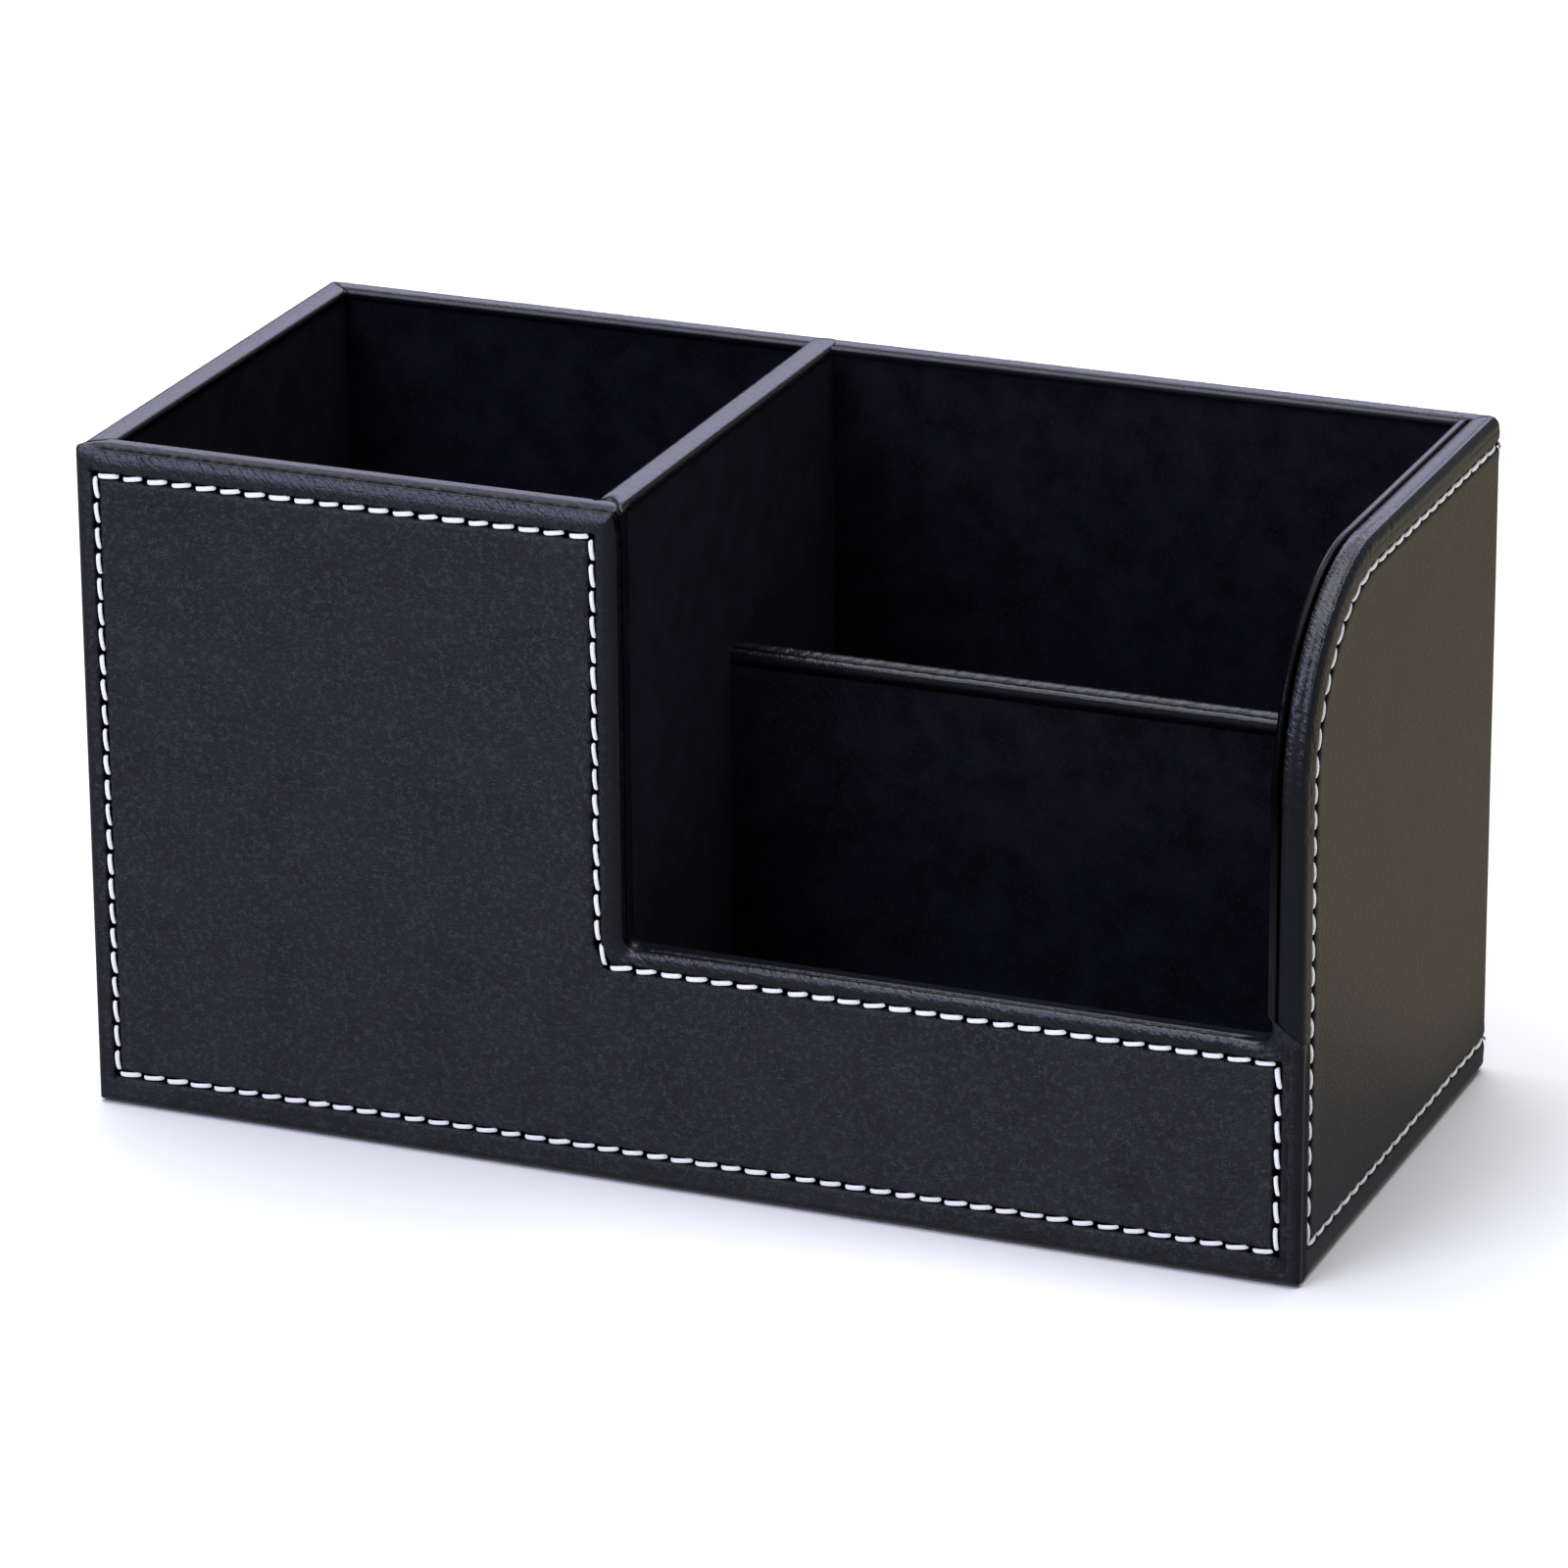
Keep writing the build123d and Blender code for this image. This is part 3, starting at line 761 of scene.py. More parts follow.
def rim_roll(place):
    """The outer roll's share of the front's face, which falls back to the rim and carries its folds. At
    the low wall's right end its crease runs out over the face, below the seam."""
    inset = rim_distance(place)
    if inset > ROLL_REACH + 1.2:
        return 0.0
    back = ROLL_BEND * (1 - math.sqrt(1 - min(1.0, max(0.0, 1 - inset / ROLL_REACH)) ** 2))
    back *= 1 - 0.75 * float(np.clip((place[0] - STEP) / 4.0, 0, 1))
    nearest = np.abs(column_spots - place).sum(axis=1).argmin()
    fold = wrinkled(front_columns[nearest].along, FACE_INSET - inset, 1.0)
    height = FOLD_SHARE * roll_crumple(place) * fold - back * roll_share(place)
    if place[0] > PULL_START and place[1] < LOW_WALL + 1.0:
        along = (place[0] - PULL_START) / (PULL_END - PULL_START)
        off = inset - 0.7 - 1.3 * along ** 2
        fade = np.clip(2.5 * along, 0, 1) * np.clip((96.4 - place[0]) / 1.4, 0, 1)
        swell = 0.2 * math.exp(-((off - 0.5) / 0.35) ** 2)
        height += fade * (swell - 0.25 * math.exp(-((off + 0.15) / 0.25) ** 2))
    return height


def front_pull(place):
    """The front's face is pulled over the roll, over the tongue and towards its right edge."""
    x, z = place
    roll = float(np.clip(1.2 - rim_distance(place) / ROLL_REACH, 0, 1)) * roll_share(place)
    tongue = float(np.clip((x - 92.0) / 3.0, 0, 1) * np.clip((z - LOW_WALL + 2.0) / 2.0, 0, 1))
    edge = float(np.clip((x - THREAD_RIGHT - 0.5) / 1.2, 0, 1))
    return max(roll, tongue, edge)


front_sewn = SewnFace(front_runs, 3.0, rim_roll, front_pull, roll_crumple)


def tall_ends(x):
    """The strip's curved front end, lapped over the front rim, and its rounded end on the back rim."""
    part = np.clip((x - (STEP - WALL)) / WALL, 0, 1)
    swing = 0.9 * math.sin(math.pi * min(part / 0.8, 1.0))
    front_end = BAY_FRONT + swing - 2.3 * max(0.0, part - 0.35) ** 1.5 / 0.65 ** 1.5
    back_end = BAY_BACK + 3.9 - 1.6 * (2 * part - 1) ** 4
    return front_end, back_end


def front_space(place, depth):
    """A place on the front's drawing, at a depth behind its face, in the object's space."""
    return place[0], FRONT + depth, place[1]


def front_mend(point, place, depth):
    """Lifts the tongue clear of the side cover that it laps over, and sinks the top along the strip's
    lap."""
    rise = np.clip((point[2] - 34.0) / 4.0, 0, 1) * np.clip((point[0] - 93.0) / 3.0, 0, 1)
    rise = rise * rise * (3 - 2 * rise)
    if depth < 2.5:
        point[1] -= 0.12 * rise
    if point[0] > 98.0:
        point[0] += 0.1 * rise
    if STEP - WALL - 0.5 < point[0] < STEP + 0.4 and point[2] > TOP - 0.9 and 0.3 < depth < 5.6:
        off = point[1] - tall_ends(point[0])[0]
        point[2] -= 0.35 * math.exp(-((off + 0.14) / 0.26) ** 2)
    return point


# The outer roll reaches over the face, which has close points there too
FACE_SPACING = 4.0
rolled = []
for column in front_columns:
    if column.rows[0, WRINKLE] > 0 or rim_distance(column.point) < 0.3:
        rolled += [column.inward(inset) for inset in (2.3, 2.65, 3.05, 3.5, 4.0, 4.6)]
front_grid = face_grid(front_columns, front_sewn, FACE_SPACING, np.array(rolled))
front_cover = cover_mesh("front_cover", front_columns, front_grid, front_space, front_sewn,
                         seed=1.0, mend=front_mend, breaks=0.6)


# The side cover, drawn flat, with its distance round the box across and its height up. It runs back
# along the left to SIDE_1, round a corner to SIDE_2, along the back to SIDE_3, round a corner to SIDE_4
# and along the right to its front edge at SIDE_5
BACK_ROUND = 1.8
QUARTER = BACK_ROUND * math.pi / 2
SIDE_1 = BACK - BACK_ROUND - (FRONT + CORNER_RETURN)
SIDE_2 = SIDE_1 + QUARTER
SIDE_3 = SIDE_2 + (RIGHT - LEFT) - 2 * BACK_ROUND
SIDE_4 = SIDE_3 + QUARTER
SIDE_5 = SIDE_4 + BACK - BACK_ROUND - FRONT
CORNER_REACH = 14.0


def bent(turn, depth, centre, first, second):
    """A place in one of the rounded back corners. Deeper than the round, it is the mitre."""
    if depth <= BACK_ROUND:
        spoke = BACK_ROUND - depth
        return centre + spoke * (math.cos(turn) * first + math.sin(turn) * second)
    return centre - (depth - BACK_ROUND) * (first + second)


def drawn_in(reach, depth):
    """How far a place near a back corner moves along the wall with depth, so none cross the mitre."""
    extra = max(depth - BACK_ROUND, 0.0)
    return extra * max(0.0, 1 - reach / CORNER_REACH)


def side_space(place, depth):
    """A place on the side's drawing, at a depth behind its face, in the object's space."""
    across, up = place
    left_out, back_out, right_out = np.array((-1.0, 0)), np.array((0, 1.0)), np.array((1.0, 0))
    left_centre = np.array((LEFT + BACK_ROUND, BACK - BACK_ROUND))
    right_centre = np.array((RIGHT - BACK_ROUND, BACK - BACK_ROUND))
    if across < SIDE_1:
        spot = (LEFT + depth, FRONT + CORNER_RETURN + across - drawn_in(SIDE_1 - across, depth))
    elif across < SIDE_2:
        spot = bent((across - SIDE_1) / BACK_ROUND, depth, left_centre, left_out, back_out)
    elif across < SIDE_3:
        move = drawn_in(across - SIDE_2, depth) - drawn_in(SIDE_3 - across, depth)
        spot = (LEFT + BACK_ROUND + across - SIDE_2 + move, BACK - depth)
    elif across < SIDE_4:
        spot = bent((across - SIDE_3) / BACK_ROUND, depth, right_centre, back_out, right_out)
    else:
        spot = (RIGHT - depth, BACK - BACK_ROUND - (across - SIDE_4) - drawn_in(across - SIDE_4, depth))
    return spot[0], spot[1], up


left_rim = turned_edge(1.8, 1.6, 5.25, ridges=((3.4, 0.1, 1.3),), wrinkle=0.05)
back_rim = turned_edge(1.8, 1.6, 5.5, crease=(4.35, 0.3), sink=0.5, roll=-0.03, strip=-0.1,
                       ridges=((2.8, 0.06, 1.0),), wrinkle=0.07, lip=0.45)
right_rim = turned_edge(1.8, 1.5, 5.6, crease=(4.1, 0.32), sink=0.6, roll=-0.04, strip=-0.12,
                        ridges=((2.6, 0.12, 0.9), (1.35, -0.12, 0.2)), wrinkle=0.03, lip=0.45)
curved_rim = turned_edge(1.9, 1.3, 5.6, crease=(4.1, 0.32), sink=0.6, roll=-0.04, strip=-0.12,
                         ridges=((2.6, 0.15, 0.9), (1.35, -0.35, 0.22)), wrinkle=0.16, lip=0.45)
# Painted shade over the inner piping along the shoulder's curve
behind = curved_rim[:, 1] > 4.3
curved_rim[behind, PAINTED_SHADE] += 0.85 * (1 - curved_rim[behind, PAINTED_SHADE])
upright_rim = right_rim.copy()
# The upright edge's crease gets less painted shade
upright_rim[:, PAINTED_SHADE] *= 0.4
side_return = turned_edge(0.35, 0.3, 0.9, lip=0.1, drop=0.3)
side_fold = turned_edge(1.3, 1.2, WALL, lip=0.2, drop=0.9)
LAP_START = 37.2

side_columns = outline([
    (0.0, 0.0, 0.0, side_return, side_fold, 3.0, 4.0),
    (SIDE_5 - CORNER_RETURN, 0.0, 0.0, side_return, side_return, 1.5, 0.3),
    (SIDE_5 - CORNER_RETURN, LAP_START, 0.0, side_return, side_return, 0.5, 0.0),
    (SIDE_5, LAP_START, 0.0, side_return, upright_rim, 0.45, 1.2),
    (SIDE_5, LAP_START + 5.0, 0.0, upright_rim, upright_rim, 0.45, 26.0),
    (SIDE_5, TOP, SHOULDER, curved_rim, right_rim, 0.5, 14.0),
    (SIDE_4, TOP, 0.0, right_rim, right_rim, 0.4, 0.0),
    (SIDE_3, TOP, 0.0, back_rim, back_rim, 0.6, 0.0),
    (SIDE_2, TOP, 0.0, back_rim, back_rim, 0.4, 0.0),
    (SIDE_1, TOP, 0.0, left_rim, left_rim, 0.9, 0.0),
    (0.0, TOP, 0.0, left_rim, side_return, 1.5, 1.0),
])
SEWN_START, SEWN_END = THREAD_SIDE_FRONT - CORNER_RETURN, SIDE_5 - THREAD_SIDE_FRONT
side_runs = [
    np.array([(SEWN_START, THREAD_BOTTOM), (SEWN_END, THREAD_BOTTOM)]),
    rounded_path([(SEWN_END, THREAD_BOTTOM, 0.0), (SEWN_END, THREAD_TOP, SHOULDER - THREAD_SIDE_FRONT),
                  (SEWN_START, THREAD_TOP, 0.0)]),
    np.array([(SEWN_START, THREAD_TOP), (SEWN_START, THREAD_BOTTOM)])]
side_sewn = SewnFace(side_runs, 5.0)

# Close points round the two back corners, on the face and on the hidden back
bends = np.array([(start + QUARTER * k / 6, up) for start in (SIDE_1, SIDE_3) for k in range(7)
                  for up in np.arange(2.6, TOP - 2.2, 1.9)])


def side_mend(point, place, depth):
    """Slopes the left rim's end to its mitre, and tucks the wrap in under the front cover's seam."""
    if place[0] < 6.0 and point[2] > TOP - 6.0:
        point[1] += 0.6 * max(0.0, min(depth, WALL)) * (1 - place[0] / 6.0)
    if point[0] > 94.0 and point[1] < FRONT + 3.0:
        below = SEAM_OUTER + (RIGHT - point[0]) * (SEAM_INNER - SEAM_OUTER) / WALL - point[2]
        tuck = np.clip((below - 0.3) / 0.8, 0, 1)
        point[1] += 0.14 + 0.35 * tuck
        if point[0] > 98.0:
            point[0] -= 0.12 * tuck
        elif point[0] < 96.2:
            point[0] += 0.75 * tuck
    return point


def side_calm(across, depth):
    """The wrinkles die out towards the mitres of the two back corners, where columns meet."""
    for start, end in ((SIDE_1, SIDE_2), (SIDE_3, SIDE_4)):
        reach = max(start - across, across - end, 0.0)
        if depth > BACK_ROUND - 0.6 and reach < 1.5:
            return max(reach / 1.5, 1 - (depth - BACK_ROUND + 0.6) / 0.6, 0.0)
    return 1.0


side_grid = face_grid(side_columns, side_sewn, FACE_SPACING, bends)
side_loop = np.array([column.inward(FACE_INSET) for column in side_columns])
side_cover = cover_mesh("side_cover", side_columns, side_grid, side_space, side_sewn,
                        back_points=inside(bends, side_loop, FACE_MARGIN),
                        seed=4.0, mend=side_mend, calm=side_calm)


# The strips on the dividers
STRIP_THICK = 0.55


def strip_mesh(name, sections, crumple, painted_shade_of):
    """A closed strip from sections of equal count, with flat ends. Its last argument gives the shade
    painted at a point."""
    points = [p for section in sections for p in section]
    size = len(sections[0])
    faces = []
    for j in range(len(sections) - 1):
        for k in range(size):
            a, b = j * size + k, j * size + (k + 1) % size
            faces.append((a, b, b + size, a + size))
    faces.append(tuple(range(size)))
    faces.append(tuple(range(len(points) - size, len(points))))
    marks = {"pulled": [1.0] * len(points), "crumpled": [crumple] * len(points),
             "painted_shade": [painted_shade_of(p) for p in points]}
    return mesh_object(name, points, faces, marks)


def cap_section(low, high, top, bends, drops, relief, wrinkle, along, seed):
    """Across a divider's strip: (across, up) pairs over the top and back underneath. Bends and drops
    are the radius of its round and its height at the low and at the high side."""
    turns = np.linspace(0, math.pi / 2, 7)
    over = [(low, top - drops[0]), (low, top - bends[0] - 0.3)]
    over += [(low + bends[0] * (1 - math.cos(t)), top - bends[0] * (1 - math.sin(t))) for t in turns]
    over += [(x, top) for x in np.linspace(low + bends[0], high - bends[1], 26)[1:-1]]
    over += [(high - bends[1] * (1 - math.sin(t)), top - bends[1] * (1 - math.cos(t))) for t in turns]
    over += [(high, top - bends[1] - 0.3), (high, top - drops[1])]
    over = np.array(over)
    step = np.gradient(over, axis=0)
    size = np.maximum(np.linalg.norm(step, axis=1), 1e-6)
    lift = np.stack((-step[:, 1], step[:, 0]), axis=1) / size[:, None]
    run = np.concatenate(([0], np.cumsum(np.linalg.norm(np.diff(over, axis=0), axis=1))))
    heights = np.array([relief(x, z) + wrinkle * wrinkled(along, r, seed) for (x, z), r in zip(over, run)])
    heights[[0, -1]] = 0
    over = over + lift * heights[:, None]
    inner = top - STRIP_THICK
    under = [(high - STRIP_THICK, top - drops[1]), (high - STRIP_THICK, inner), (low + STRIP_THICK, inner),
             (low + STRIP_THICK, top - drops[0])]
    return list(over) + [np.array(u) for u in under]


def tall_relief(x, z):
    """A smooth crown that stands a little over the lining at both sides."""
    middle = STEP - WALL / 2
    return 0.2 * (1 - ((x - middle) / 2.6) ** 2) if z > TOP - 0.95 else 0.12


# The tall strip lies on the front rim and on the back rim at its ends, where its sides are flattened to
# the height RIM_LEVEL, and its first and last steps round down
STRIP_STEPS = 150
RIM_LEVEL = TOP - 0.35
sections = []
for j in range(STRIP_STEPS + 1):
    t = j / STRIP_STEPS
    ring = []
    along = t * (BAY_BACK - BAY_FRONT)
    across = cap_section(STEP - WALL, STEP, TOP, (1.1, 0.7), (1.2, 1.2), tall_relief, 0.04, along, 11.0)
    ends_in = min(1.0, t * STRIP_STEPS / 3, (1 - t) * STRIP_STEPS / 3)
    sink = 0.25 * (1 - math.sin(ends_in * math.pi / 2))
    for x, z in across:
        first, last = tall_ends(x)
        over_rim = 0.22 * (1 - 0.6 * t) if z > TOP - 0.3 else 0.0
        y = first + (last - first) * t
        beyond = y < BAY_FRONT + 0.1 or y > BAY_BACK - 0.1
        if beyond and z < RIM_LEVEL:
            z = RIM_LEVEL - 0.05 * (RIM_LEVEL - z)
        ring.append((x, y, z + over_rim - sink))
    sections.append(ring)
tall_strip = strip_mesh("tall_divider_strip", sections, 0.15, nothing)

# The low strip's top, whose ridges end above LOW_SHOULDER
LOW_CREASE = -0.75
LOW_SHOULDER = LOW_DIVIDER - 0.9


def low_relief(y, z):
    """A broad ridge at the back and a narrow one along the front, with a crease between them."""
    if z < LOW_SHOULDER:
        return 0.0
    ridges = 0.45 * math.exp(-((y - 1.0) / 0.9) ** 2) + 0.15 * math.exp(-((y + 1.3) / 0.35) ** 2)
    return ridges - 0.12 - 0.25 * math.exp(-((y - LOW_CREASE) / 0.25) ** 2)


def low_painted_shade(point):
    """Painted shade: dark in the crease between the ridges, and darker towards the strip's lower edge."""
    if point[2] > LOW_SHOULDER:
        return math.exp(-((point[1] - LOW_CREASE) / 0.5) ** 4)
    return 0.5 * float(np.clip(LOW_DIVIDER - 1.2 - point[2], 0, 1))


sections = []
for x in np.arange(STEP - 0.6, BAY_RIGHT + 0.61, 0.45):
    across = cap_section(LOW_FRONT - 0.15, LOW_BACK, LOW_DIVIDER, (0.6, 1.5), (2.4, 2.1), low_relief, 0.06,
                         x, 21.0)
    sections.append([(x, y, z) for y, z in across])
low_strip = strip_mesh("low_divider_strip", sections, 0.25, low_painted_shade)


# Stitching, by Geometry Nodes
def stitch_tree():
    """Sets a twisted stitch at even steps along each run, dipping into the cover at both its ends."""
    tree = bpy.data.node_groups.new("machine_stitches", "GeometryNodeTree")
    tree.interface.new_socket("Geometry", in_out="INPUT", socket_type="NodeSocketGeometry")
    for name in ("Pitch", "Length", "Width", "Height", "Slant", "Twist", "Unevenness"):
        tree.interface.new_socket(name, in_out="INPUT", socket_type="NodeSocketFloat")
    tree.interface.new_socket("Seed", in_out="INPUT", socket_type="NodeSocketInt")
    tree.interface.new_socket("Thread", in_out="INPUT", socket_type="NodeSocketMaterial")
    tree.interface.new_socket("Geometry", in_out="OUTPUT", socket_type="NodeSocketGeometry")
    given = add_node(tree, "NodeGroupInput").outputs

    # One stitch, as a low arch swept by an oval that narrows at its ends and turns along it
    half = add_node(tree, "ShaderNodeMath", {0: given["Length"], 1: 0.5}, operation="MULTIPLY")
    nearly = add_node(tree, "ShaderNodeMath", {0: half, 1: 0.9}, operation="MULTIPLY")
    sunk = add_node(tree, "ShaderNodeMath", {0: given["Height"], 1: -1.3}, operation="MULTIPLY")
    other_half = add_node(tree, "ShaderNodeMath", {0: half, 1: -1.0}, operation="MULTIPLY")
    other_nearly = add_node(tree, "ShaderNodeMath", {0: nearly, 1: -1.0}, operation="MULTIPLY")
    arch = add_node(tree, "GeometryNodeCurvePrimitiveBezierSegment", {
        "Resolution": 10,
        "Start": add_node(tree, "ShaderNodeCombineXYZ", {"X": other_half, "Z": sunk}),
        "Start Handle": add_node(tree, "ShaderNodeCombineXYZ", {"X": other_nearly, "Z": given["Height"]}),
        "End Handle": add_node(tree, "ShaderNodeCombineXYZ", {"X": nearly, "Z": given["Height"]}),
        "End": add_node(tree, "ShaderNodeCombineXYZ", {"X": half, "Z": sunk})}, mode="POSITION")
    part = add_node(tree, "GeometryNodeSplineParameter").outputs["Factor"]
    turn = add_node(tree, "ShaderNodeMath", {0: part, 1: math.pi}, operation="MULTIPLY")
    hump = add_node(tree, "ShaderNodeMath", {0: turn}, operation="SINE")
    plump = add_node(tree, "ShaderNodeMath", {0: hump, 1: 0.5}, operation="POWER")
    swell = add_node(tree, "ShaderNodeMath", {0: plump, 1: 0.8, 2: 0.2}, operation="MULTIPLY_ADD")
    swollen = add_node(tree, "GeometryNodeSetCurveRadius", {"Curve": arch, "Radius": swell})
    tilt = add_node(tree, "ShaderNodeMath", {0: turn, 1: given["Twist"]}, operation="MULTIPLY")
    twisted = add_node(tree, "GeometryNodeSetCurveTilt", {"Curve": swollen, "Tilt": tilt})
    radius = add_node(tree, "ShaderNodeMath", {0: given["Width"], 1: 0.5}, operation="MULTIPLY")
    ring = add_node(tree, "GeometryNodeCurvePrimitiveCircle", {"Resolution": 8, "Radius": radius})
    oval = add_node(tree, "GeometryNodeTransform", {"Geometry": ring, "Scale": (1.0, FLATNESS, 1.0)})
    stitch = add_node(tree, "GeometryNodeCurveToMesh", {
        "Curve": twisted, "Profile Curve": oval, "Fill Caps": True})

    # Each run is a curve with whole stitches, its points at their middles
    line = add_node(tree, "GeometryNodeMeshToCurve", {"Mesh": given["Geometry"]})
    run_length = add_node(tree, "GeometryNodeSplineLength").outputs["Length"]
    steps = add_node(tree, "ShaderNodeMath", {0: run_length, 1: given["Pitch"]}, operation="DIVIDE")
    whole = add_node(tree, "ShaderNodeMath", {0: steps}, operation="ROUND")
    count = add_node(tree, "ShaderNodeMath", {0: whole, 1: 1.0}, operation="ADD")
    spaced = add_node(tree, "GeometryNodeResampleCurve", {"Curve": line, "Count": count}, mode="COUNT")

    # A stitch stands on the cover, leans on the run's line and is never quite like the next one
    outward = add_node(tree, "GeometryNodeInputNamedAttribute", {"Name": "outward"},
                       data_type="FLOAT_VECTOR")
    heading = add_node(tree, "GeometryNodeInputTangent")
    upright = add_node(tree, "FunctionNodeAxesToRotation", {
        "Primary Axis": outward, "Secondary Axis": heading}, primary_axis="Z", secondary_axis="X")
    chances = []
    for shift in range(1, 5):
        seed = add_node(tree, "ShaderNodeMath", {0: given["Seed"], 1: float(shift)}, operation="ADD")
        chance = add_node(tree, "FunctionNodeRandomValue", {2: -1.0, 3: 1.0, "Seed": seed}, data_type="FLOAT")
        chances.append(add_node(tree, "ShaderNodeMath", {0: chance.outputs[1], 1: given["Unevenness"]},
                                operation="MULTIPLY"))
    lean = add_node(tree, "ShaderNodeMath", {0: chances[0], 1: 25.0, 2: given["Slant"]},
                    operation="MULTIPLY_ADD")
    angle = add_node(tree, "ShaderNodeMath", {0: lean}, operation="RADIANS")
    slanting = add_node(tree, "FunctionNodeAxisAngleToRotation", {"Axis": (0.0, 0.0, 1.0), "Angle": angle})
    facing = add_node(tree, "FunctionNodeRotateRotation", {"Rotation": upright, "Rotate By": slanting},
                      rotation_space="LOCAL")
    longer = add_node(tree, "ShaderNodeMath", {0: chances[1], 1: 0.7, 2: 1.0}, operation="MULTIPLY_ADD")
    wider = add_node(tree, "ShaderNodeMath", {0: chances[2], 1: 1.0}, operation="ADD")
    higher = add_node(tree, "ShaderNodeMath", {0: chances[3], 1: 1.0}, operation="ADD")
    size = add_node(tree, "ShaderNodeCombineXYZ", {"X": longer, "Y": wider, "Z": higher})
    placed = add_node(tree, "GeometryNodeInstanceOnPoints", {
        "Points": spaced, "Instance": stitch, "Rotation": facing, "Scale": size})
    real = add_node(tree, "GeometryNodeRealizeInstances", {"Geometry": placed})
    smooth = add_node(tree, "GeometryNodeSetShadeSmooth", {"Geometry": real})
    dyed = add_node(tree, "GeometryNodeSetMaterial", {"Geometry": smooth, "Material": given["Thread"]})
    add_node(tree, "NodeGroupOutput", {"Geometry": dyed})
    return tree


stitches = stitch_tree()


def sew(name, runs, to_space, seed):
    """Runs the stitch tree along a cover's thread runs, each a line from the middle of its first stitch
    to the middle of its last, and keeps the result as a plain mesh."""
    points, outs, edges = [], [], []
    for run in runs:
        half = path_length(run) / stitch_count(run) / 2
        reach = max(path_length(run) - half, half + 0.01)
        places = along_path(run, np.linspace(half, reach, max(2, math.ceil(reach / 0.5))))[0]
        for k, place in enumerate(places):
            if k:
                edges.append((len(points) - 1, len(points)))
            points.append(Vector(to_space(place, THREAD_SUNK)) * MM)
            out = np.array(to_space(place, -1.0)) - np.array(to_space(place, 0.0))
            outs.append(Vector(out).normalized())
    mesh = bpy.data.meshes.new(name + "_line")
    mesh.from_pydata(points, edges, [])
    outward = mesh.attributes.new("outward", "FLOAT_VECTOR", "POINT")
    outward.data.foreach_set("vector", [c for out in outs for c in out])
    guide = bpy.data.objects.new(name + "_line", mesh)
    bpy.context.scene.collection.objects.link(guide)
    modifier = guide.modifiers.new("stitches", "NODES")
    modifier.node_group = stitches
    wanted = {"Pitch": STITCH_PITCH * MM, "Length": STITCH_LENGTH * MM, "Width": STITCH_WIDTH * MM,
              "Height": STITCH_HEIGHT * MM, "Slant": STITCH_SLANT, "Twist": 0.0, "Unevenness": 0.1,
              "Seed": seed, "Thread": thread}
    for socket in stitches.interface.items_tree:
        if socket.in_out == "INPUT" and socket.name in wanted:
            modifier[socket.identifier] = wanted[socket.name]
    guide.update_tag()
    evaluated = guide.evaluated_get(bpy.context.evaluated_depsgraph_get())
    result = bpy.data.meshes.new_from_object(evaluated)
    piece = bpy.data.objects.new(name, result)
    bpy.context.scene.collection.objects.link(piece)
    bpy.data.objects.remove(guide)
    return piece


front_thread = sew("front_thread", front_runs, front_space, 1)
side_thread = sew("side_thread", side_runs, side_space, 2)

# What each piece is, and what it takes the place of
for piece, material, slot, nodes in (
        (front_cover, leatherette, COVER_SLOT, ["front_skin"]),
        (side_cover, leatherette, COVER_SLOT, ["side_wrap"]),
        (tall_strip, leatherette, COVER_SLOT, ["tall_divider_cap"]),
        (low_strip, leatherette, COVER_SLOT, ["low_divider_cap"]),
        (front_thread, thread, THREAD_SLOT, ["front_stitching"]),
        (side_thread, thread, THREAD_SLOT, ["side_stitching"])):
    if not piece.data.materials:
        piece.data.materials.append(material)
    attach(piece, "root")
    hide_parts(*nodes)

slots = {part["node"]: part["material_slot"] for part in frame["record"]["subparts"]}
for node_name, node in frame["nodes"].items():
    finish = FINISHES[slots[node_name]]
    node.data.materials.clear()
    node.data.materials.append(finish)

# Floor, light and camera, in metres. The floor lies a little under the object's flat underside
HALF_FLOOR, FLOOR_LEVEL = 5.0, -0.0003
floor_mesh = bpy.data.meshes.new("floor")
floor_mesh.from_pydata([(x * HALF_FLOOR, y * HALF_FLOOR, FLOOR_LEVEL)
                        for x, y in ((-1, -1), (1, -1), (1, 1), (-1, 1))], [], [(0, 1, 2, 3)])
floor = bpy.data.objects.new("floor", floor_mesh)
bpy.context.scene.collection.objects.link(floor)
floor_mesh.materials.append(new_material("matt_white_board", **{
    "Base Color": srgb("#faf8f3"), "Roughness": 0.9, "Specular IOR Level": 0.1})[0])

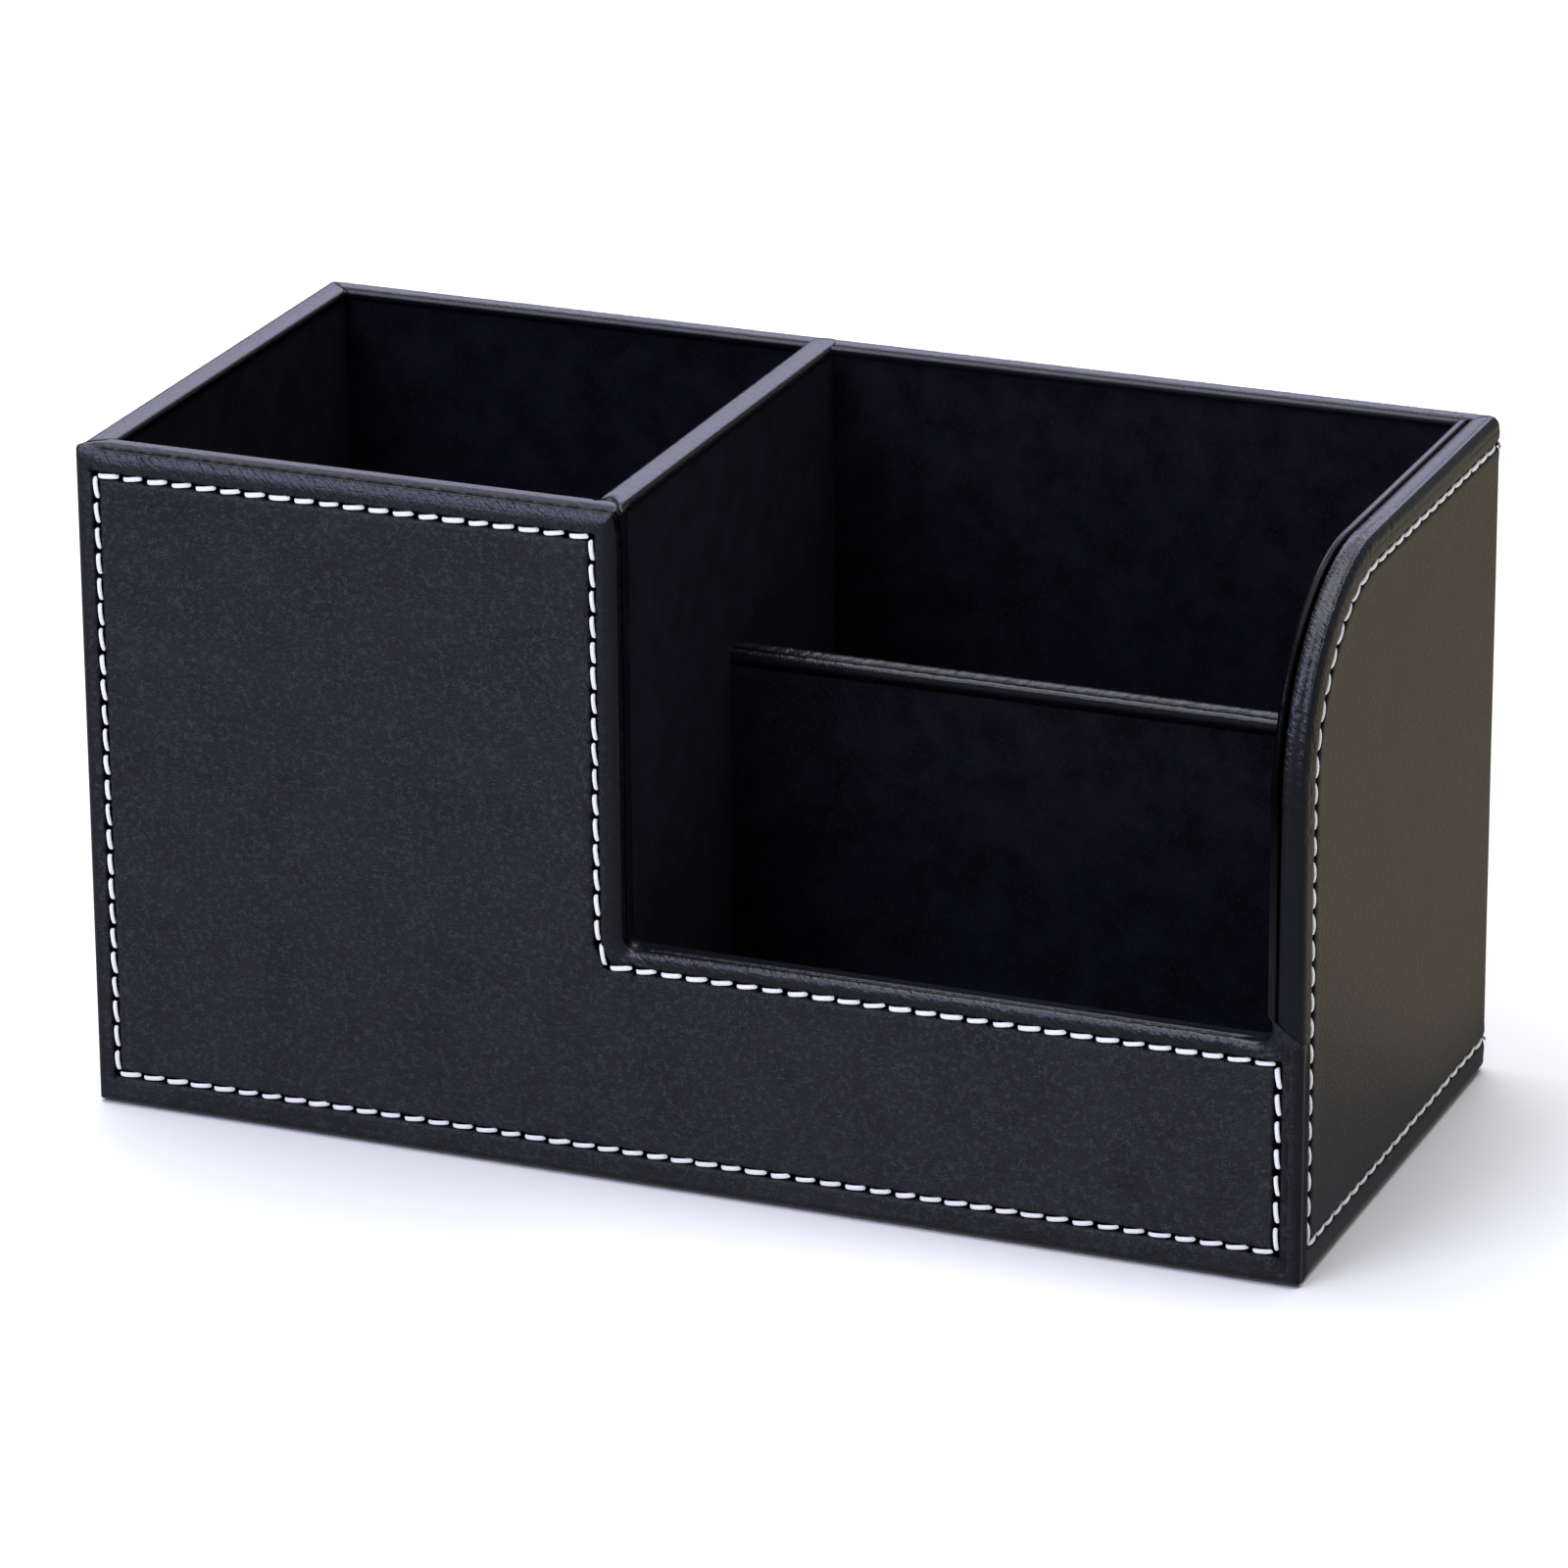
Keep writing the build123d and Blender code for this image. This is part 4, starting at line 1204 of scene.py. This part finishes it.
# The lights alone shape the covers' gloss, so the floor isn't seen in it
floor.visible_glossy = False

world = bpy.data.worlds.new("studio")
bpy.context.scene.world = world
world.use_nodes = True
backdrop = world.node_tree.nodes["Background"]
backdrop.inputs["Color"].default_value = srgb("#f2f4f8")
backdrop.inputs["Strength"].default_value = 0.26


def soft_light(name, place, aim, size, watts, colour):
    """A rectangular light at a place, turned to shine at its aim."""
    light = bpy.data.lights.new(name, "AREA")
    light.shape = "RECTANGLE"
    light.size, light.size_y = size
    light.energy = watts
    light.color = srgb(colour)[:3]
    lamp = bpy.data.objects.new(name, light)
    lamp.location = place
    lamp.rotation_euler = (Vector(aim) - Vector(place)).to_track_quat("-Z", "Y").to_euler()
    bpy.context.scene.collection.objects.link(lamp)


soft_light("overhead", (-0.1, 0.1, 1.4), (0, 0, 0), (1.4, 1.4), 26.0, "#f4f6ff")
soft_light("front_window", (-0.6, -1.2, 1.05), (0, 0, 0.08), (0.9, 0.5), 14.0, "#ccd4ff")
soft_light("back_window", (-0.7, 1.5, 0.9), (0, 0, 0.08), (1.4, 0.9), 8.8, "#dfdcff")
soft_light("front_fill", (-0.5, -1.6, 0.5), (0, 0, 0.05), (1.6, 0.8), 2.0, "#e4eaff")

# The warm floor beyond the right side, which the right face's gloss shows
soft_light("warm_bounce", (0.443, 0.475, 0.003), (0.443, 0.475, 1.0), (0.674, 0.89), 0.9, "#ffe29c")

# The camera stands where the photograph's perspective puts it
camera_data = bpy.data.cameras.new("camera")
camera_data.lens = 186.19
camera_data.sensor_width = 36.0
camera_data.clip_end = 50.0
camera = bpy.data.objects.new("camera", camera_data)
right_axis = Vector((0.92624, 0.37687, -0.00644))
up_axis = Vector((-0.12744, 0.32920, 0.93562))
look = Vector((-0.35473, 0.86579, -0.35295))
turned = Matrix((right_axis, up_axis, -look)).transposed().to_4x4()
camera.matrix_world = Matrix.Translation(Vector((449.03, -1099.54, 498.74)) * MM) @ turned
bpy.context.scene.collection.objects.link(camera)
bpy.context.scene.camera = camera
bpy.context.scene.view_settings.view_transform = "Standard"
